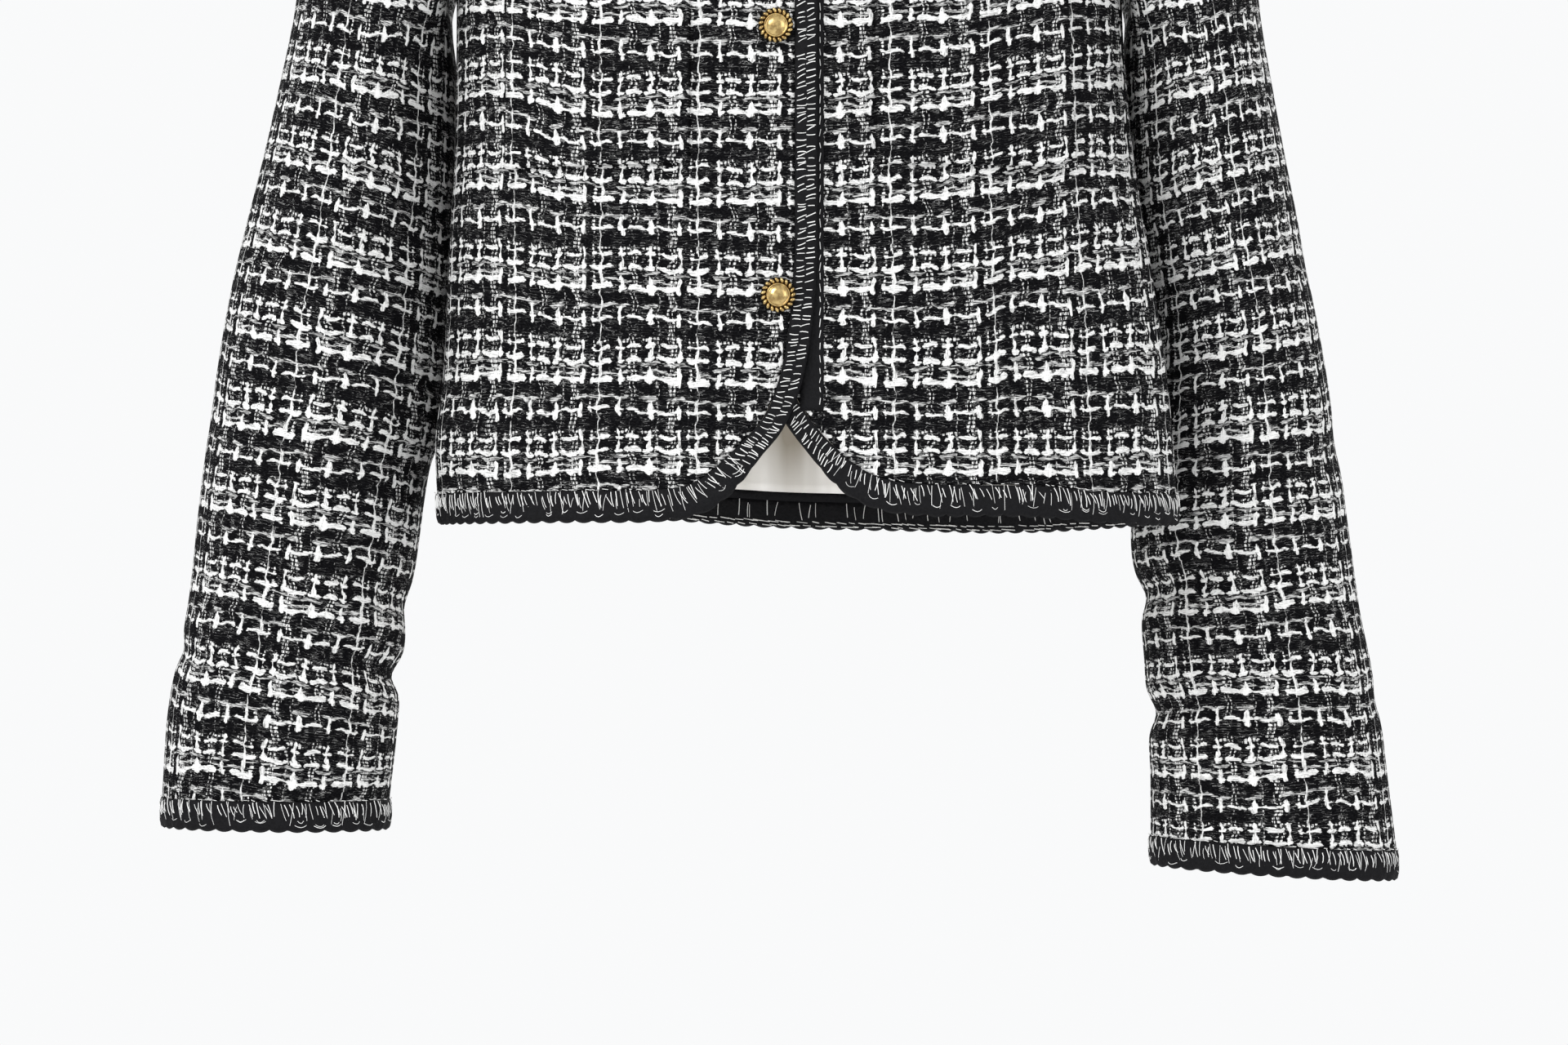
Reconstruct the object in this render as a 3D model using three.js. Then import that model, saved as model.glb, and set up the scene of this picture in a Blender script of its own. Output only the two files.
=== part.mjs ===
// A cropped collarless tweed jacket with crocheted edging, worn and buttoned, as a hollow garment.
// Millimetres. The front faces -Y, the wearer's left is +X, and the origin is the neck base,
// level with the inner ends of the shoulder seams.
import * as THREE from "three";

const wall = 2.6; // tweed with its backing
const seamGap = 0.3;
const armholeGap = 0.6;
const pocketGap = 0.5;
const hemLevel = -470;
const armpitLevel = -208;
const neckFrontLevel = -88;
const shoulderLevel = 28; // the shoulder seam's slope, carried on to the centre line
const lap = 7.4; // each front's cloth passes the centre line by this
const lapDrop = 5; // the under front lies this far behind the outer one
const neckTurn = 0.363; // half angle of the back neck, where the shoulder seam starts
const neckInset = 0.996; // the back neck's edging stops this share of the way to the shoulder seam
const napeLevel = -18;

const hemBand = { width: 15.5, thick: 4.6, step: 5.2, knot: 0.9 };
const frontBand = { width: 11.5, thick: 4.4, step: 12, knot: 0 };
const bandProfile = { shoulder: 0.3, crest: 0.55, edge: 0.6, flat: 0.26 };
const bandCorner = { sharp: 0.8, apart: 0.7 }; // a corner's band turns in three steps
const bandWidens = { from: 30, to: 2, rings: 5 }; // a front's edging grows into the hem's
const hemRow = hemLevel + hemBand.width + seamGap; // lower edge of the cloth

// How rows bend: round the shoulders, at the nape, above the hem and where the under front drops back.
const bend = {
  round: 25,
  nape: 2.2,
  hemTop: -380,
  dropFrom: 21,
  dropTo: 50,
};
const shoulderStart = 71; // the shoulder seam runs outwards from here
const normalStep = { up: 0.4, across: 0.003 };

// The sleeve cap's curves. folded values hold at the armpit, open ones from foldHeight above it.
const cap = {
  foldHeight: 50,
  outFolded: 0.75,
  outOpen: 0.2,
  hangOpen: 0.8,
  hangFolded: 0.35,
  onwardFolded: 0.25,
  drop: -0.42,
  leave: 0.33,
  leaveLeast: 4,
  arrive: 0.36,
};

// The body from the hem up. right, left: half widths. front, back: depths. flank: y of a side seam.
const bodyTable = [
  { level: -470, right: 171, left: 198.5, front: -120, back: 112, flankR: 2, flankL: -24 },
  { level: -430, right: 173, left: 196.2, front: -120.5, back: 109.5, flankR: 2, flankL: -22 },
  { level: -398, right: 169, left: 193.3, front: -121, back: 107.5, flankR: 2, flankL: -20 },
  { level: -335, right: 166, left: 184.7, front: -122, back: 105, flankR: 1, flankL: -14 },
  { level: -272, right: 162.5, left: 175.8, front: -122.5, back: 104.5, flankR: 0, flankL: -7 },
  { level: -208, right: 162, left: 172, front: -119, back: 106, flankR: 0, flankL: 0 },
  { level: -203, right: 162, left: 172, front: -118, back: 106, flankR: 0, flankL: 0 },
  { level: -194, right: 162.5, left: 172, front: -117, back: 106, flankR: 0, flankL: 0 },
  { level: -178, right: 164, left: 172.5, front: -115, back: 105, flankR: 0, flankL: 0 },
  { level: -118, right: 174, left: 176.5, front: -104, back: 100, flankR: 1, flankL: 1 },
  { level: -66, right: 184, left: 184, front: -87, back: 88, flankR: 3, flankL: 3 },
  { level: -16, right: 194, left: 194, front: -56, back: 66, flankR: 5, flankL: 5 },
  { level: 8, right: 199, left: 199, front: -33, back: 45, flankR: 6, flankL: 6 },
  { level: 20, right: 201, left: 201, front: -15, back: 28, flankR: 7, flankL: 7 },
  { level: 28, right: 203, left: 203, front: 7, back: 7, flankR: 7, flankL: 7 },
];

// fall: how much a row drops towards the shoulder. reach: how far round each panel goes, in degrees.
const armholeTable = [
  { level: -470, fall: 0, reach: 90 },
  { level: -208, fall: 0, reach: 90 },
  { level: -203, fall: 0, reach: 76 },
  { level: -194, fall: 0.01, reach: 68 },
  { level: -178, fall: 0.02, reach: 64.5 },
  { level: -118, fall: 0.07, reach: 65 },
  { level: -66, fall: 0.14, reach: 66.2 },
  { level: -16, fall: 0.25, reach: 67.3 },
  { level: 8, fall: 0.32, reach: 67.6 },
  { level: 20, fall: 0.36, reach: 67.8 },
  { level: 28, fall: 0.39, reach: 67.8 },
];

// The hem hangs a little uneven. front, back: how far it hangs below its level at x, fading out at
// bend.hemTop.
const hemlineTable = [
  { x: -170, front: 1.6, back: 1.6 },
  { x: -150, front: 1.2, back: 0.2 },
  { x: -110, front: 0.6, back: -1.2 },
  { x: -66, front: 0.4, back: -0.9 },
  { x: -23, front: -0.5, back: 2.1 },
  { x: 5, front: -1.5, back: 3.8 },
  { x: 36, front: -2.2, back: 4.7 },
  { x: 75, front: -2.5, back: 5.6 },
  { x: 110, front: -2.6, back: 6.5 },
  { x: 135, front: -1.4, back: 6 },
  { x: 155, front: 0.8, back: 4.8 },
  { x: 190, front: 2, back: 2 },
];

// The curve that cuts each front away to the hem. up: height over the cloth's lower edge.
const cutawayTable = {
  right: [
    { up: 0, edge: 62 },
    { up: 1.2, edge: 48 },
    { up: 5, edge: 38 },
    { up: 12, edge: 29 },
    { up: 21, edge: 19.5 },
    { up: 34, edge: 7.8 },
    { up: 57, edge: -1 },
    { up: 84, edge: -5.2 },
    { up: 114, edge: -lap },
  ],
  left: [
    { up: 0, edge: 77 },
    { up: 1.4, edge: 58 },
    { up: 4.3, edge: 47.5 },
    { up: 9.2, edge: 38 },
    { up: 19, edge: 27 },
    { up: 29, edge: 18 },
    { up: 40, edge: 10.5 },
    { up: 58, edge: 0.5 },
    { up: 84, edge: -6 },
    { up: 114, edge: -lap },
  ],
};

// The front neckline from its centre up to the shoulder seam.
const necklineTable = [
  { level: neckFrontLevel, edge: -lap },
  { level: -84, edge: 15 },
  { level: -66, edge: 36 },
  { level: -42, edge: 51 },
  { level: -16, edge: 61.5 },
  { level: 8, edge: 68 },
  { level: shoulderLevel, edge: 72 },
];

// Each sleeve below its cap. up: height over the hem. near, far: the sides next to and away from the body.
// mid, depth: the middle and size from front to back. tilt: rise of a ring towards the far side.
const sleeveTable = {
  right: [
    { up: 232, near: 163, far: 248, mid: 20, depth: 128, tilt: 0.24 },
    { up: 180, near: 163.5, far: 259.5, mid: 24, depth: 124, tilt: 0.26 },
    { up: 98, near: 168.5, far: 279.5, mid: 27, depth: 116, tilt: 0.24 },
    { up: 60, near: 171.5, far: 286, mid: 28, depth: 113, tilt: 0.22 },
    { up: 37, near: 178, far: 289.5, mid: 28, depth: 110, tilt: 0.2 },
    { up: -5, near: 184, far: 295, mid: 29, depth: 106, tilt: 0.19 },
    { up: -45, near: 189.5, far: 299.5, mid: 30, depth: 100, tilt: 0.18 },
    { up: -80, near: 193, far: 306.5, mid: 31, depth: 94, tilt: 0.16 },
    { up: -106, near: 195, far: 311.5, mid: 32, depth: 88, tilt: 0.08 },
    { up: -140, near: 198.5, far: 314, mid: 33, depth: 80, tilt: 0.01 },
  ],
  left: [
    { up: 232, near: 173, far: 246, mid: 24, depth: 130, tilt: 0.2 },
    { up: 180, near: 175, far: 256.5, mid: 34, depth: 126, tilt: 0.2 },
    { up: 98, near: 185, far: 274.5, mid: 50, depth: 116, tilt: 0.16 },
    { up: 37, near: 182.5, far: 286.5, mid: 61, depth: 110, tilt: 0.1 },
    { up: -5, near: 181, far: 292.5, mid: 65, depth: 106, tilt: 0.06 },
    { up: -45, near: 186, far: 298.5, mid: 66, depth: 100, tilt: 0.04 },
    { up: -98, near: 189, far: 309, mid: 65, depth: 92, tilt: 0 },
    { up: -135, near: 191, far: 313.5, mid: 64, depth: 86, tilt: -0.02 },
    { up: -164.5, near: 191, far: 317.5, mid: 63, depth: 80, tilt: -0.06 },
  ],
};

// The largest creases, as troughs across a sleeve. up: height over the hem, turn: where round the sleeve
// it is deepest (0 beside the body, 90 in front), spread: how far round it runs, slant: its climb.
const creaseTable = {
  right: [
    { up: -78, turn: 10, spread: 75, wide: 9, deep: 5.5, slant: 6 },
    { up: -84, turn: 185, spread: 60, wide: 8, deep: 2.2, slant: 4 },
    { up: -28, turn: 20, spread: 70, wide: 10, deep: 2.6, slant: 10 },
    { up: 60, turn: 100, spread: 60, wide: 14, deep: 1.8, slant: -18 },
    { up: 150, turn: 60, spread: 55, wide: 13, deep: 2.2, slant: -24 },
    { up: -50, turn: 275, spread: 60, wide: 12, deep: 3, slant: 12 },
    { up: 110, turn: 290, spread: 70, wide: 15, deep: 2.4, slant: 16 },
  ],
  left: [
    { up: -33, turn: 15, spread: 70, wide: 9, deep: 4.2, slant: 8 },
    { up: -97, turn: 5, spread: 70, wide: 9, deep: 5, slant: 6 },
    { up: -92, turn: 185, spread: 60, wide: 9, deep: 1.6, slant: -4 },
    { up: 30, turn: 150, spread: 60, wide: 13, deep: 2, slant: 14 },
    { up: 140, turn: 110, spread: 60, wide: 14, deep: 2, slant: -20 },
    { up: -60, turn: 270, spread: 60, wide: 12, deep: 3, slant: -12 },
    { up: 70, turn: 280, spread: 70, wide: 15, deep: 2.4, slant: 15 },
  ],
};

const pocket = { bottom: -297.5, top: -190, nearTurn: 0.268, farTurn: 0.942, columns: 8, rows: 7 };
const lining = {
  wall: 1,
  clear: 4.6,
  rise: 4.5,
  ripple: 2.2,
  ripples: 9,
  turn: 1.38,
  short: 0.1,
  top: -60,
  columns: 19,
  rows: 11,
};
const button = { levels: [-361, -233.5, -105.5], radius: 9.25, back: 1.9, rise: 3.4, sides: 20 };

const cutawayRows = [0, 1.5, 4.5, 9.5, 16, 23, 32, 45, 62, 84];
const plainRows = [-340, -300, -262, -235, armpitLevel];
const armholeRows = [-203, -194, -178, -150, -118, neckFrontLevel, -84, -66, -42, -16, 8, 20, shoulderLevel];
const panelLevels = [...cutawayRows.map((up) => hemRow + up), ...plainRows, ...armholeRows];
const frontColumns = 11;
const backColumns = [-1, -0.85, -0.68, -0.5, -0.36, -0.3068, -0.298, -0.285, -0.262, -0.22, -0.12, 0];
const backAcross = [...backColumns, ...backColumns.slice(0, -1).reverse().map((across) => -across)];
const capSteps = [0, 0.1, 0.25, 0.42, 0.6, 0.8, 1];
const sleeveRows = 18;

const degrees = (angle) => (angle * Math.PI) / 180;
const mix = (a, b, t) => a + (b - a) * t;
const smooth = (low, high, x) => THREE.MathUtils.smoothstep(x, low, high);

// A smooth, non-overshooting curve through one column of a table, read at a value of its key column.
function track(table, key, column) {
  const rows = [...table].sort((a, b) => a[key] - b[key]);
  const at = rows.map((row) => row[key]);
  const value = rows.map((row) => row[column]);
  const chord = at.slice(1).map((x, i) => (value[i + 1] - value[i]) / (x - at[i]));
  const slope = value.map((_, i) => {
    const before = chord[Math.max(i - 1, 0)];
    const after = chord[Math.min(i, chord.length - 1)];
    return before * after > 0 ? (2 * before * after) / (before + after) : 0;
  });
  return (x) => {
    let i = 0;
    while (i < chord.length - 1 && x > at[i + 1]) i += 1;
    const span = at[i + 1] - at[i];
    const t = THREE.MathUtils.clamp((x - at[i]) / span, 0, 1);
    const rise = (t * t * (3 - 2 * t)) * (value[i + 1] - value[i]);
    const start = t * (1 - t) * (1 - t) * slope[i];
    const end = t * t * (t - 1) * slope[i + 1];
    return value[i] + rise + span * (start + end);
  };
}

const tracks = (table, key) =>
  Object.fromEntries(Object.keys(table[0]).map((column) => [column, track(table, key, column)]));

const body = { ...tracks(bodyTable, "level"), ...tracks(armholeTable, "level") };
const hemDrop = tracks(hemlineTable, "x");
const neckEdge = track(necklineTable, "level", "edge");
const cutaway = {
  right: track(cutawayTable.right, "up", "edge"),
  left: track(cutawayTable.left, "up", "edge"),
};
const sleeveShape = { right: tracks(sleeveTable.right, "up"), left: tracks(sleeveTable.left, "up") };
const signOf = { right: -1, left: 1 };

// A point of the body's outer surface. turn is 0 at the centre line and 90 degrees at the side seam.
function bodyPoint(face, side, turn, level) {
  const flank = body[side === "right" ? "flankR" : "flankL"](level);
  const deep = body[face](level);
  const x = signOf[side] * body[side](level) * Math.sin(turn);
  const y = flank + (deep - flank) * Math.cos(turn);
  const away = Math.hypot(x, bend.round) - bend.round;
  const atHem = 1 - smooth(hemLevel, bend.hemTop, level);
  const drop = body.fall(level) * away + atHem * hemDrop[face](x);
  return new THREE.Vector3(x, y, level - drop);
}

function frontEdge(side, level) {
  if (level >= neckFrontLevel) return neckEdge(level);
  return cutaway[side](Math.max(level - hemRow, 0));
}

// A front panel's point: across runs from its centre edge to its side, or to the armhole.
function frontPoint(side, across, level) {
  const wide = body[side](level);
  const start = Math.asin(frontEdge(side, level) / wide);
  const end = degrees(body.reach(level)) - seamGap / 2 / wide;
  const point = bodyPoint("front", side, mix(start, end, across), level);
  if (side === "left") point.y += lapDrop * (1 - smooth(bend.dropFrom, bend.dropTo, point.x));
  return point;
}

// A back panel's point: across runs from -1 at the wearer's right to 1 at the left.
function backPoint(across, row) {
  const side = across < 0 ? "right" : "left";
  const reach = degrees(body.reach(row)) - seamGap / 2 / body[side](row);
  const turn = Math.abs(across) * reach;
  const neckShare = Math.min(turn / neckTurn, 1);
  const top = mix(napeLevel, shoulderLevel, neckShare ** bend.nape);
  const climb = Math.max((row - armpitLevel) / (shoulderLevel - armpitLevel), 0);
  const level = row > armpitLevel ? mix(armpitLevel, top, climb) : row;
  return bodyPoint("back", side, turn, level);
}

// The unit normal of a panel's surface, from two short steps along it.
function surfaceNormal(pointAt, across, level) {
  const { up, across: aside } = normalStep;
  const above = Math.min(level + up, shoulderLevel);
  const rise = pointAt(across, above).sub(pointAt(across, above - 2 * up));
  const along = pointAt(across + aside, level).sub(pointAt(across - aside, level));
  return along.cross(rise).normalize();
}

// Unit normals of a grid of points, all on the same side; wrapped grids close on themselves.
function gridNormals(grid, wrapped) {
  const columns = grid[0].length;
  return grid.map((row, r) =>
    row.map((_, c) => {
      const before = wrapped ? (c + columns - 1) % columns : Math.max(c - 1, 0);
      const after = wrapped ? (c + 1) % columns : Math.min(c + 1, columns - 1);
      const along = new THREE.Vector3().subVectors(row[after], row[before]);
      const below = grid[Math.max(r - 1, 0)][c];
      const above = grid[Math.min(r + 1, grid.length - 1)][c];
      return along.cross(new THREE.Vector3().subVectors(above, below)).normalize();
    }),
  );
}

// Turns the grid's normals round where they point the wrong way from a point inside the garment.
function faceAway(grid, normals, inside) {
  const r = Math.floor(grid.length / 2);
  const c = Math.floor(grid[0].length / 2);
  if (new THREE.Vector3().subVectors(grid[r][c], inside).dot(normals[r][c]) > 0) return;
  normals.flat().forEach((normal) => normal.negate());
}

// A closed mesh from points and faces, with its faces turned outwards.
function closedGeometry(points, faces) {
  let volume = 0;
  for (const [a, b, c] of faces) {
    volume += points[a].dot(new THREE.Vector3().crossVectors(points[b], points[c]));
  }
  const order = volume < 0 ? faces.map(([a, b, c]) => [a, c, b]) : faces;
  const geometry = new THREE.BufferGeometry().setFromPoints(points);
  geometry.setIndex(order.flat());
  geometry.computeVertexNormals();
  return geometry;
}

// A wall between two grids of the same size, closed along its rims.
function wallGeometry(outer, inner, wrapped) {
  const rows = outer.length;
  const columns = outer[0].length;
  const points = [...outer.flat(), ...inner.flat()];
  const out = (r, c) => r * columns + (c % columns);
  const back = (r, c) => rows * columns + out(r, c);
  const faces = [];
  const quad = (a, b, c, d) => faces.push([a, b, c], [a, c, d]);
  const spans = wrapped ? columns : columns - 1;
  for (let r = 0; r < rows - 1; r += 1) {
    for (let c = 0; c < spans; c += 1) {
      quad(out(r, c), out(r, c + 1), out(r + 1, c + 1), out(r + 1, c));
      quad(back(r, c), back(r + 1, c), back(r + 1, c + 1), back(r, c + 1));
    }
    if (!wrapped) {
      quad(out(r, 0), out(r + 1, 0), back(r + 1, 0), back(r, 0));
      quad(out(r, spans), back(r, spans), back(r + 1, spans), out(r + 1, spans));
    }
  }
  for (let c = 0; c < spans; c += 1) {
    const last = rows - 1;
    quad(out(0, c), back(0, c), back(0, c + 1), out(0, c + 1));
    quad(out(last, c), out(last, c + 1), back(last, c + 1), back(last, c));
  }
  return closedGeometry(points, faces);
}

const moved = (grid, normals, distance) =>
  grid.map((row, r) => row.map((point, c) => point.clone().addScaledVector(normals[r][c], distance)));

// A panel's grid with its normals; at the side and shoulder seams both panels take the same normal.
function panel(pointAt, columns, seamShift, inside) {
  const last = columns.length - 1;
  const grid = panelLevels.map((level) => columns.map((across) => pointAt(across, level)));
  const normals = panelLevels.map((level) => columns.map((across) => surfaceNormal(pointAt, across, level)));
  faceAway(grid, normals, inside);
  grid.forEach((row, r) => {
    for (const c of [0, last]) {
      const isSeam = Math.abs(columns[c]) === 1 && panelLevels[r] <= armpitLevel;
      if (isSeam) normals[r][c].setY(0).normalize();
    }
  });
  const top = grid.length - 1;
  normals[top].forEach((normal, c) => {
    if (Math.abs(grid[top][c].x) < shoulderStart) return;
    normal.setY(0).normalize();
    grid[top][c].y += seamShift;
  });
  return { grid, normals };
}

const evenly = (count, low, high) =>
  Array.from({ length: count }, (_, i) => mix(low, high, i / (count - 1)));

const inside = new THREE.Vector3(0, 0, -300);
const fronts = {};
for (const side of ["right", "left"]) {
  const pointAt = (across, level) => frontPoint(side, across, level);
  fronts[side] = panel(pointAt, evenly(frontColumns, 0, 1), -seamGap / 2, inside);
}
const back = panel(backPoint, backAcross, seamGap / 2, inside);

// The armhole's rim from the armpit up the front and down the back, as points with their normals.
function armhole(side) {
  const first = panelLevels.indexOf(armpitLevel);
  const front = fronts[side];
  const backColumn = side === "right" ? 0 : backAcross.length - 1;
  const rim = [];
  const read = ({ grid, normals }, r, c) => rim.push({ point: grid[r][c].clone(), normal: normals[r][c] });
  const top = panelLevels.length - 1;
  for (let r = first; r <= top; r += 1) read(front, r, frontColumns - 1);
  for (let r = top - 1; r > first; r -= 1) read(back, r, backColumn);
  rim[0].point.lerp(back.grid[first][backColumn], 0.5);
  rim[top - first].point.lerp(back.grid[top][backColumn], 0.5);
  rim.forEach((place, i) => {
    const before = rim[(i + rim.length - 1) % rim.length].point;
    const after = rim[(i + 1) % rim.length].point;
    const along = new THREE.Vector3().subVectors(after, before).normalize();
    const across = new THREE.Vector3().crossVectors(along, place.normal).normalize();
    const isAway = across.dot(new THREE.Vector3(signOf[side], 0, 0.4)) > 0;
    place.outward = isAway ? across : across.negate();
  });
  return rim;
}

// A point of the sleeve below its cap. turn is 0 beside the body and 90 degrees in front.
function sleevePoint(side, turn, up) {
  const shape = sleeveShape[side];
  const half = (shape.far(up) - shape.near(up)) / 2;
  const middle = (shape.far(up) + shape.near(up)) / 2;
  const offset = -half * Math.cos(turn);
  const y = shape.mid(up) - (shape.depth(up) / 2) * Math.sin(turn);
  return new THREE.Vector3(signOf[side] * (middle + offset), y, hemLevel + up + shape.tilt(up) * offset);
}

function creaseDepth(side, turn, up) {
  let depth = 0;
  for (const crease of creaseTable[side]) {
    const round = Math.atan2(Math.sin(turn - degrees(crease.turn)), Math.cos(turn - degrees(crease.turn)));
    const centre = crease.up + crease.slant * Math.sin(round);
    const across = (up - centre) / crease.wide;
    const along = round / degrees(crease.spread);
    depth += crease.deep * Math.exp(-across * across - along * along);
  }
  return depth;
}

// The sleeve's grid: the cap bends from the armhole's rim to the first ring, and plain rings follow.
function sleeve(side) {
  const rim = armhole(side);
  const lengths = rim.map((place, i) => place.point.distanceTo(rim[(i + 1) % rim.length].point));
  const whole = lengths.reduce((sum, length) => sum + length, 0);
  let run = 0;
  const turns = lengths.map((length) => {
    const turn = (2 * Math.PI * run) / whole;
    run += length;
    return turn;
  });
  const ups = evenly(sleeveRows, sleeveTable[side][0].up, sleeveTable[side].at(-1).up);
  const capRings = capSteps.map((t) =>
    rim.map((place, i) => {
      const start = place.point.clone().addScaledVector(place.outward, armholeGap);
      const end = sleevePoint(side, turns[i], ups[0]);
      const span = start.distanceTo(end);
      const towards = new THREE.Vector3().subVectors(end, start).normalize();
      const folded = 1 - smooth(armpitLevel, armpitLevel + cap.foldHeight, start.z);
      const leave = place.outward.clone().multiplyScalar(mix(cap.outOpen, cap.outFolded, folded));
      const hang = new THREE.Vector3(signOf[side], 0, cap.drop);
      leave.addScaledVector(hang, mix(cap.hangOpen, cap.hangFolded, folded));
      leave.addScaledVector(towards, mix(0, cap.onwardFolded, folded)).normalize();
      const arrive = new THREE.Vector3().subVectors(end, sleevePoint(side, turns[i], ups[2])).normalize();
      const first = start.clone().addScaledVector(leave, Math.max(cap.leave * span, cap.leaveLeast));
      const second = end.clone().addScaledVector(arrive, cap.arrive * span);
      return new THREE.CubicBezierCurve3(start, first, second, end).getPoint(t);
    }),
  );
  const plainRings = ups.slice(1).map((up) => turns.map((turn) => sleevePoint(side, turn, up)));
  const grid = [...capRings, ...plainRings];
  const normals = gridNormals(grid, true);
  faceAway(grid, normals, sleeveAxis(side, ups[Math.floor(sleeveRows / 3)]));
  normals[0].forEach((normal, i) => normal.copy(rim[i].normal));
  grid.forEach((ring, r) =>
    ring.forEach((point, i) => {
      const up = r < capSteps.length ? ups[0] : ups[r - capSteps.length + 1];
      const fade = r < capSteps.length ? 0 : 1;
      point.addScaledVector(normals[r][i], -fade * creaseDepth(side, turns[i], up));
    }),
  );
  return { grid, normals };
}

function sleeveAxis(side, up) {
  const shape = sleeveShape[side];
  const middle = (shape.near(up) + shape.far(up)) / 2;
  return new THREE.Vector3(signOf[side] * middle, shape.mid(up), hemLevel + up);
}

// A stretch of a cloth edge: its points, normals and the way out of the cloth, in short steps.
// clothFrom gives, for a point of the edge, some point on the cloth's side of it.
function edgePath(points, normals, isClosed, step, clothFrom) {
  const count = points.length;
  const corners = points.map((point, i) => {
    const before = isClosed ? points[(i + count - 1) % count] : points[Math.max(i - 1, 0)];
    const after = isClosed ? points[(i + 1) % count] : points[Math.min(i + 1, count - 1)];
    return { point, normal: normals[i], before, after };
  });
  const outward = (from, to, normal, near) => {
    const along = new THREE.Vector3().subVectors(to, from).normalize();
    const across = new THREE.Vector3().crossVectors(along, normal).normalize();
    const toCloth = new THREE.Vector3().subVectors(clothFrom(near), near);
    return across.dot(toCloth) > 0 ? across.negate() : across;
  };
  const path = [];
  corners.forEach(({ point, normal, before, after }, i) => {
    const first = before === point ? null : outward(before, point, normal, point);
    const second = after === point ? null : outward(point, after, normal, point);
    const isSharp = first && second && first.dot(second) < bandCorner.sharp;
    const directions = isSharp ? [first, null, null, second] : [null];
    directions.forEach((_, d) => {
      const share = isSharp ? d / 3 : 0.5;
      const way = new THREE.Vector3();
      if (first) way.addScaledVector(first, 1 - share);
      if (second) way.addScaledVector(second, share);
      if (!first || !second) way.setY(0); // a band ends square to its seam
      const shift = new THREE.Vector3();
      if (isSharp && d === 0) shift.subVectors(before, point).setLength(bandCorner.apart);
      if (isSharp && d === 3) shift.subVectors(after, point).setLength(bandCorner.apart);
      path.push({ point: point.clone().add(shift), normal: normal.clone(), outward: way.normalize() });
    });
    if (i === count - 1 && !isClosed) return;
    const next = corners[(i + 1) % count];
    const pieces = Math.max(Math.round(point.distanceTo(next.point) / step(i)), 1);
    for (let s = 1; s < pieces; s += 1) {
      const t = s / pieces;
      const between = normal.clone().lerp(next.normal, t).normalize();
      path.push({
        point: point.clone().lerp(next.point, t),
        normal: between,
        outward: outward(point, next.point, between, point),
      });
    }
  });
  return path;
}

// The crocheted edging: a rounded band along a cloth edge, with a knot at every second section.
function bandGeometry(path, sizeAt, isClosed) {
  const sections = path.map(({ point, normal, outward }, i) => {
    const { width, thick, knot } = sizeAt(i);
    const swell = i % 2 === 0 ? knot : -knot;
    const { shoulder, crest, edge, flat } = bandProfile;
    const profile = [
      { out: seamGap, rise: thick / 2 - shoulder },
      { out: crest * width, rise: thick / 2 + shoulder * swell },
      { out: width - edge + swell, rise: thick * flat },
      { out: width - edge + swell, rise: -thick * flat },
      { out: crest * width, rise: -thick / 2 },
      { out: seamGap, rise: -thick / 2 + shoulder },
    ];
    return profile.map(({ out, rise }) =>
      point.clone().addScaledVector(outward, out).addScaledVector(normal, rise - wall / 2),
    );
  });
  const corners = sections[0].length;
  const count = sections.length;
  const faces = [];
  const index = (s, k) => (s % count) * corners + (k % corners);
  for (let s = 0; s < (isClosed ? count : count - 1); s += 1) {
    for (let k = 0; k < corners; k += 1) {
      faces.push([index(s, k), index(s + 1, k), index(s + 1, k + 1)]);
      faces.push([index(s, k), index(s + 1, k + 1), index(s, k + 1)]);
    }
  }
  for (let k = 1; !isClosed && k < corners - 1; k += 1) {
    faces.push([index(0, 0), index(0, k), index(0, k + 1)]);
    faces.push([index(count - 1, 0), index(count - 1, k + 1), index(count - 1, k)]);
  }
  return closedGeometry(sections.flat(), faces);
}

// The edging of one front runs down its neckline and centre edge, round the cutaway and along the hem.
function frontEdging(side) {
  const { grid, normals } = fronts[side];
  const rows = grid.length;
  const descending = Array.from({ length: rows }, (_, i) => rows - 1 - i);
  const points = [...descending.map((r) => grid[r][0]), ...grid[0].slice(1)];
  const ways = [...descending.map((r) => normals[r][0]), ...normals[0].slice(1)];
  const hemStart = rows - bandWidens.rings;
  const step = (i) => (i >= hemStart ? hemBand.step : frontBand.step);
  const middle = grid[Math.floor(rows / 2)][Math.floor(frontColumns / 2)];
  const path = edgePath(points, ways, false, step, () => middle);
  const sizeAt = (i) => {
    const share = 1 - smooth(hemRow + bandWidens.to, hemRow + bandWidens.from, path[i].point.z);
    return {
      width: mix(frontBand.width, hemBand.width, share),
      thick: mix(frontBand.thick, hemBand.thick, share),
      knot: hemBand.knot * share,
    };
  };
  return bandGeometry(path, sizeAt, false);
}

function backHemEdging() {
  const path = edgePath(back.grid[0], back.normals[0], false, () => hemBand.step, () => inside);
  return bandGeometry(path, () => hemBand, false);
}

// The back neck's edging ends at the two shoulder seams.
function backNeckEdging() {
  const reach = degrees(body.reach(shoulderLevel));
  const isNeck = (across) => Math.abs(across) * reach * neckInset < neckTurn;
  const places = backAcross.filter(isNeck).map((across) => across * neckInset);
  const points = places.map((across) => backPoint(across, shoulderLevel));
  const normals = places.map((across) => surfaceNormal(backPoint, across, shoulderLevel));
  faceAway([points], [normals], inside);
  for (const end of [normals[0], normals.at(-1)]) end.setY(0).normalize();
  const below = (point) => point.clone().multiplyScalar(2);
  const path = edgePath(points, normals, false, () => frontBand.step, below);
  return bandGeometry(path, () => frontBand, false);
}

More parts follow.
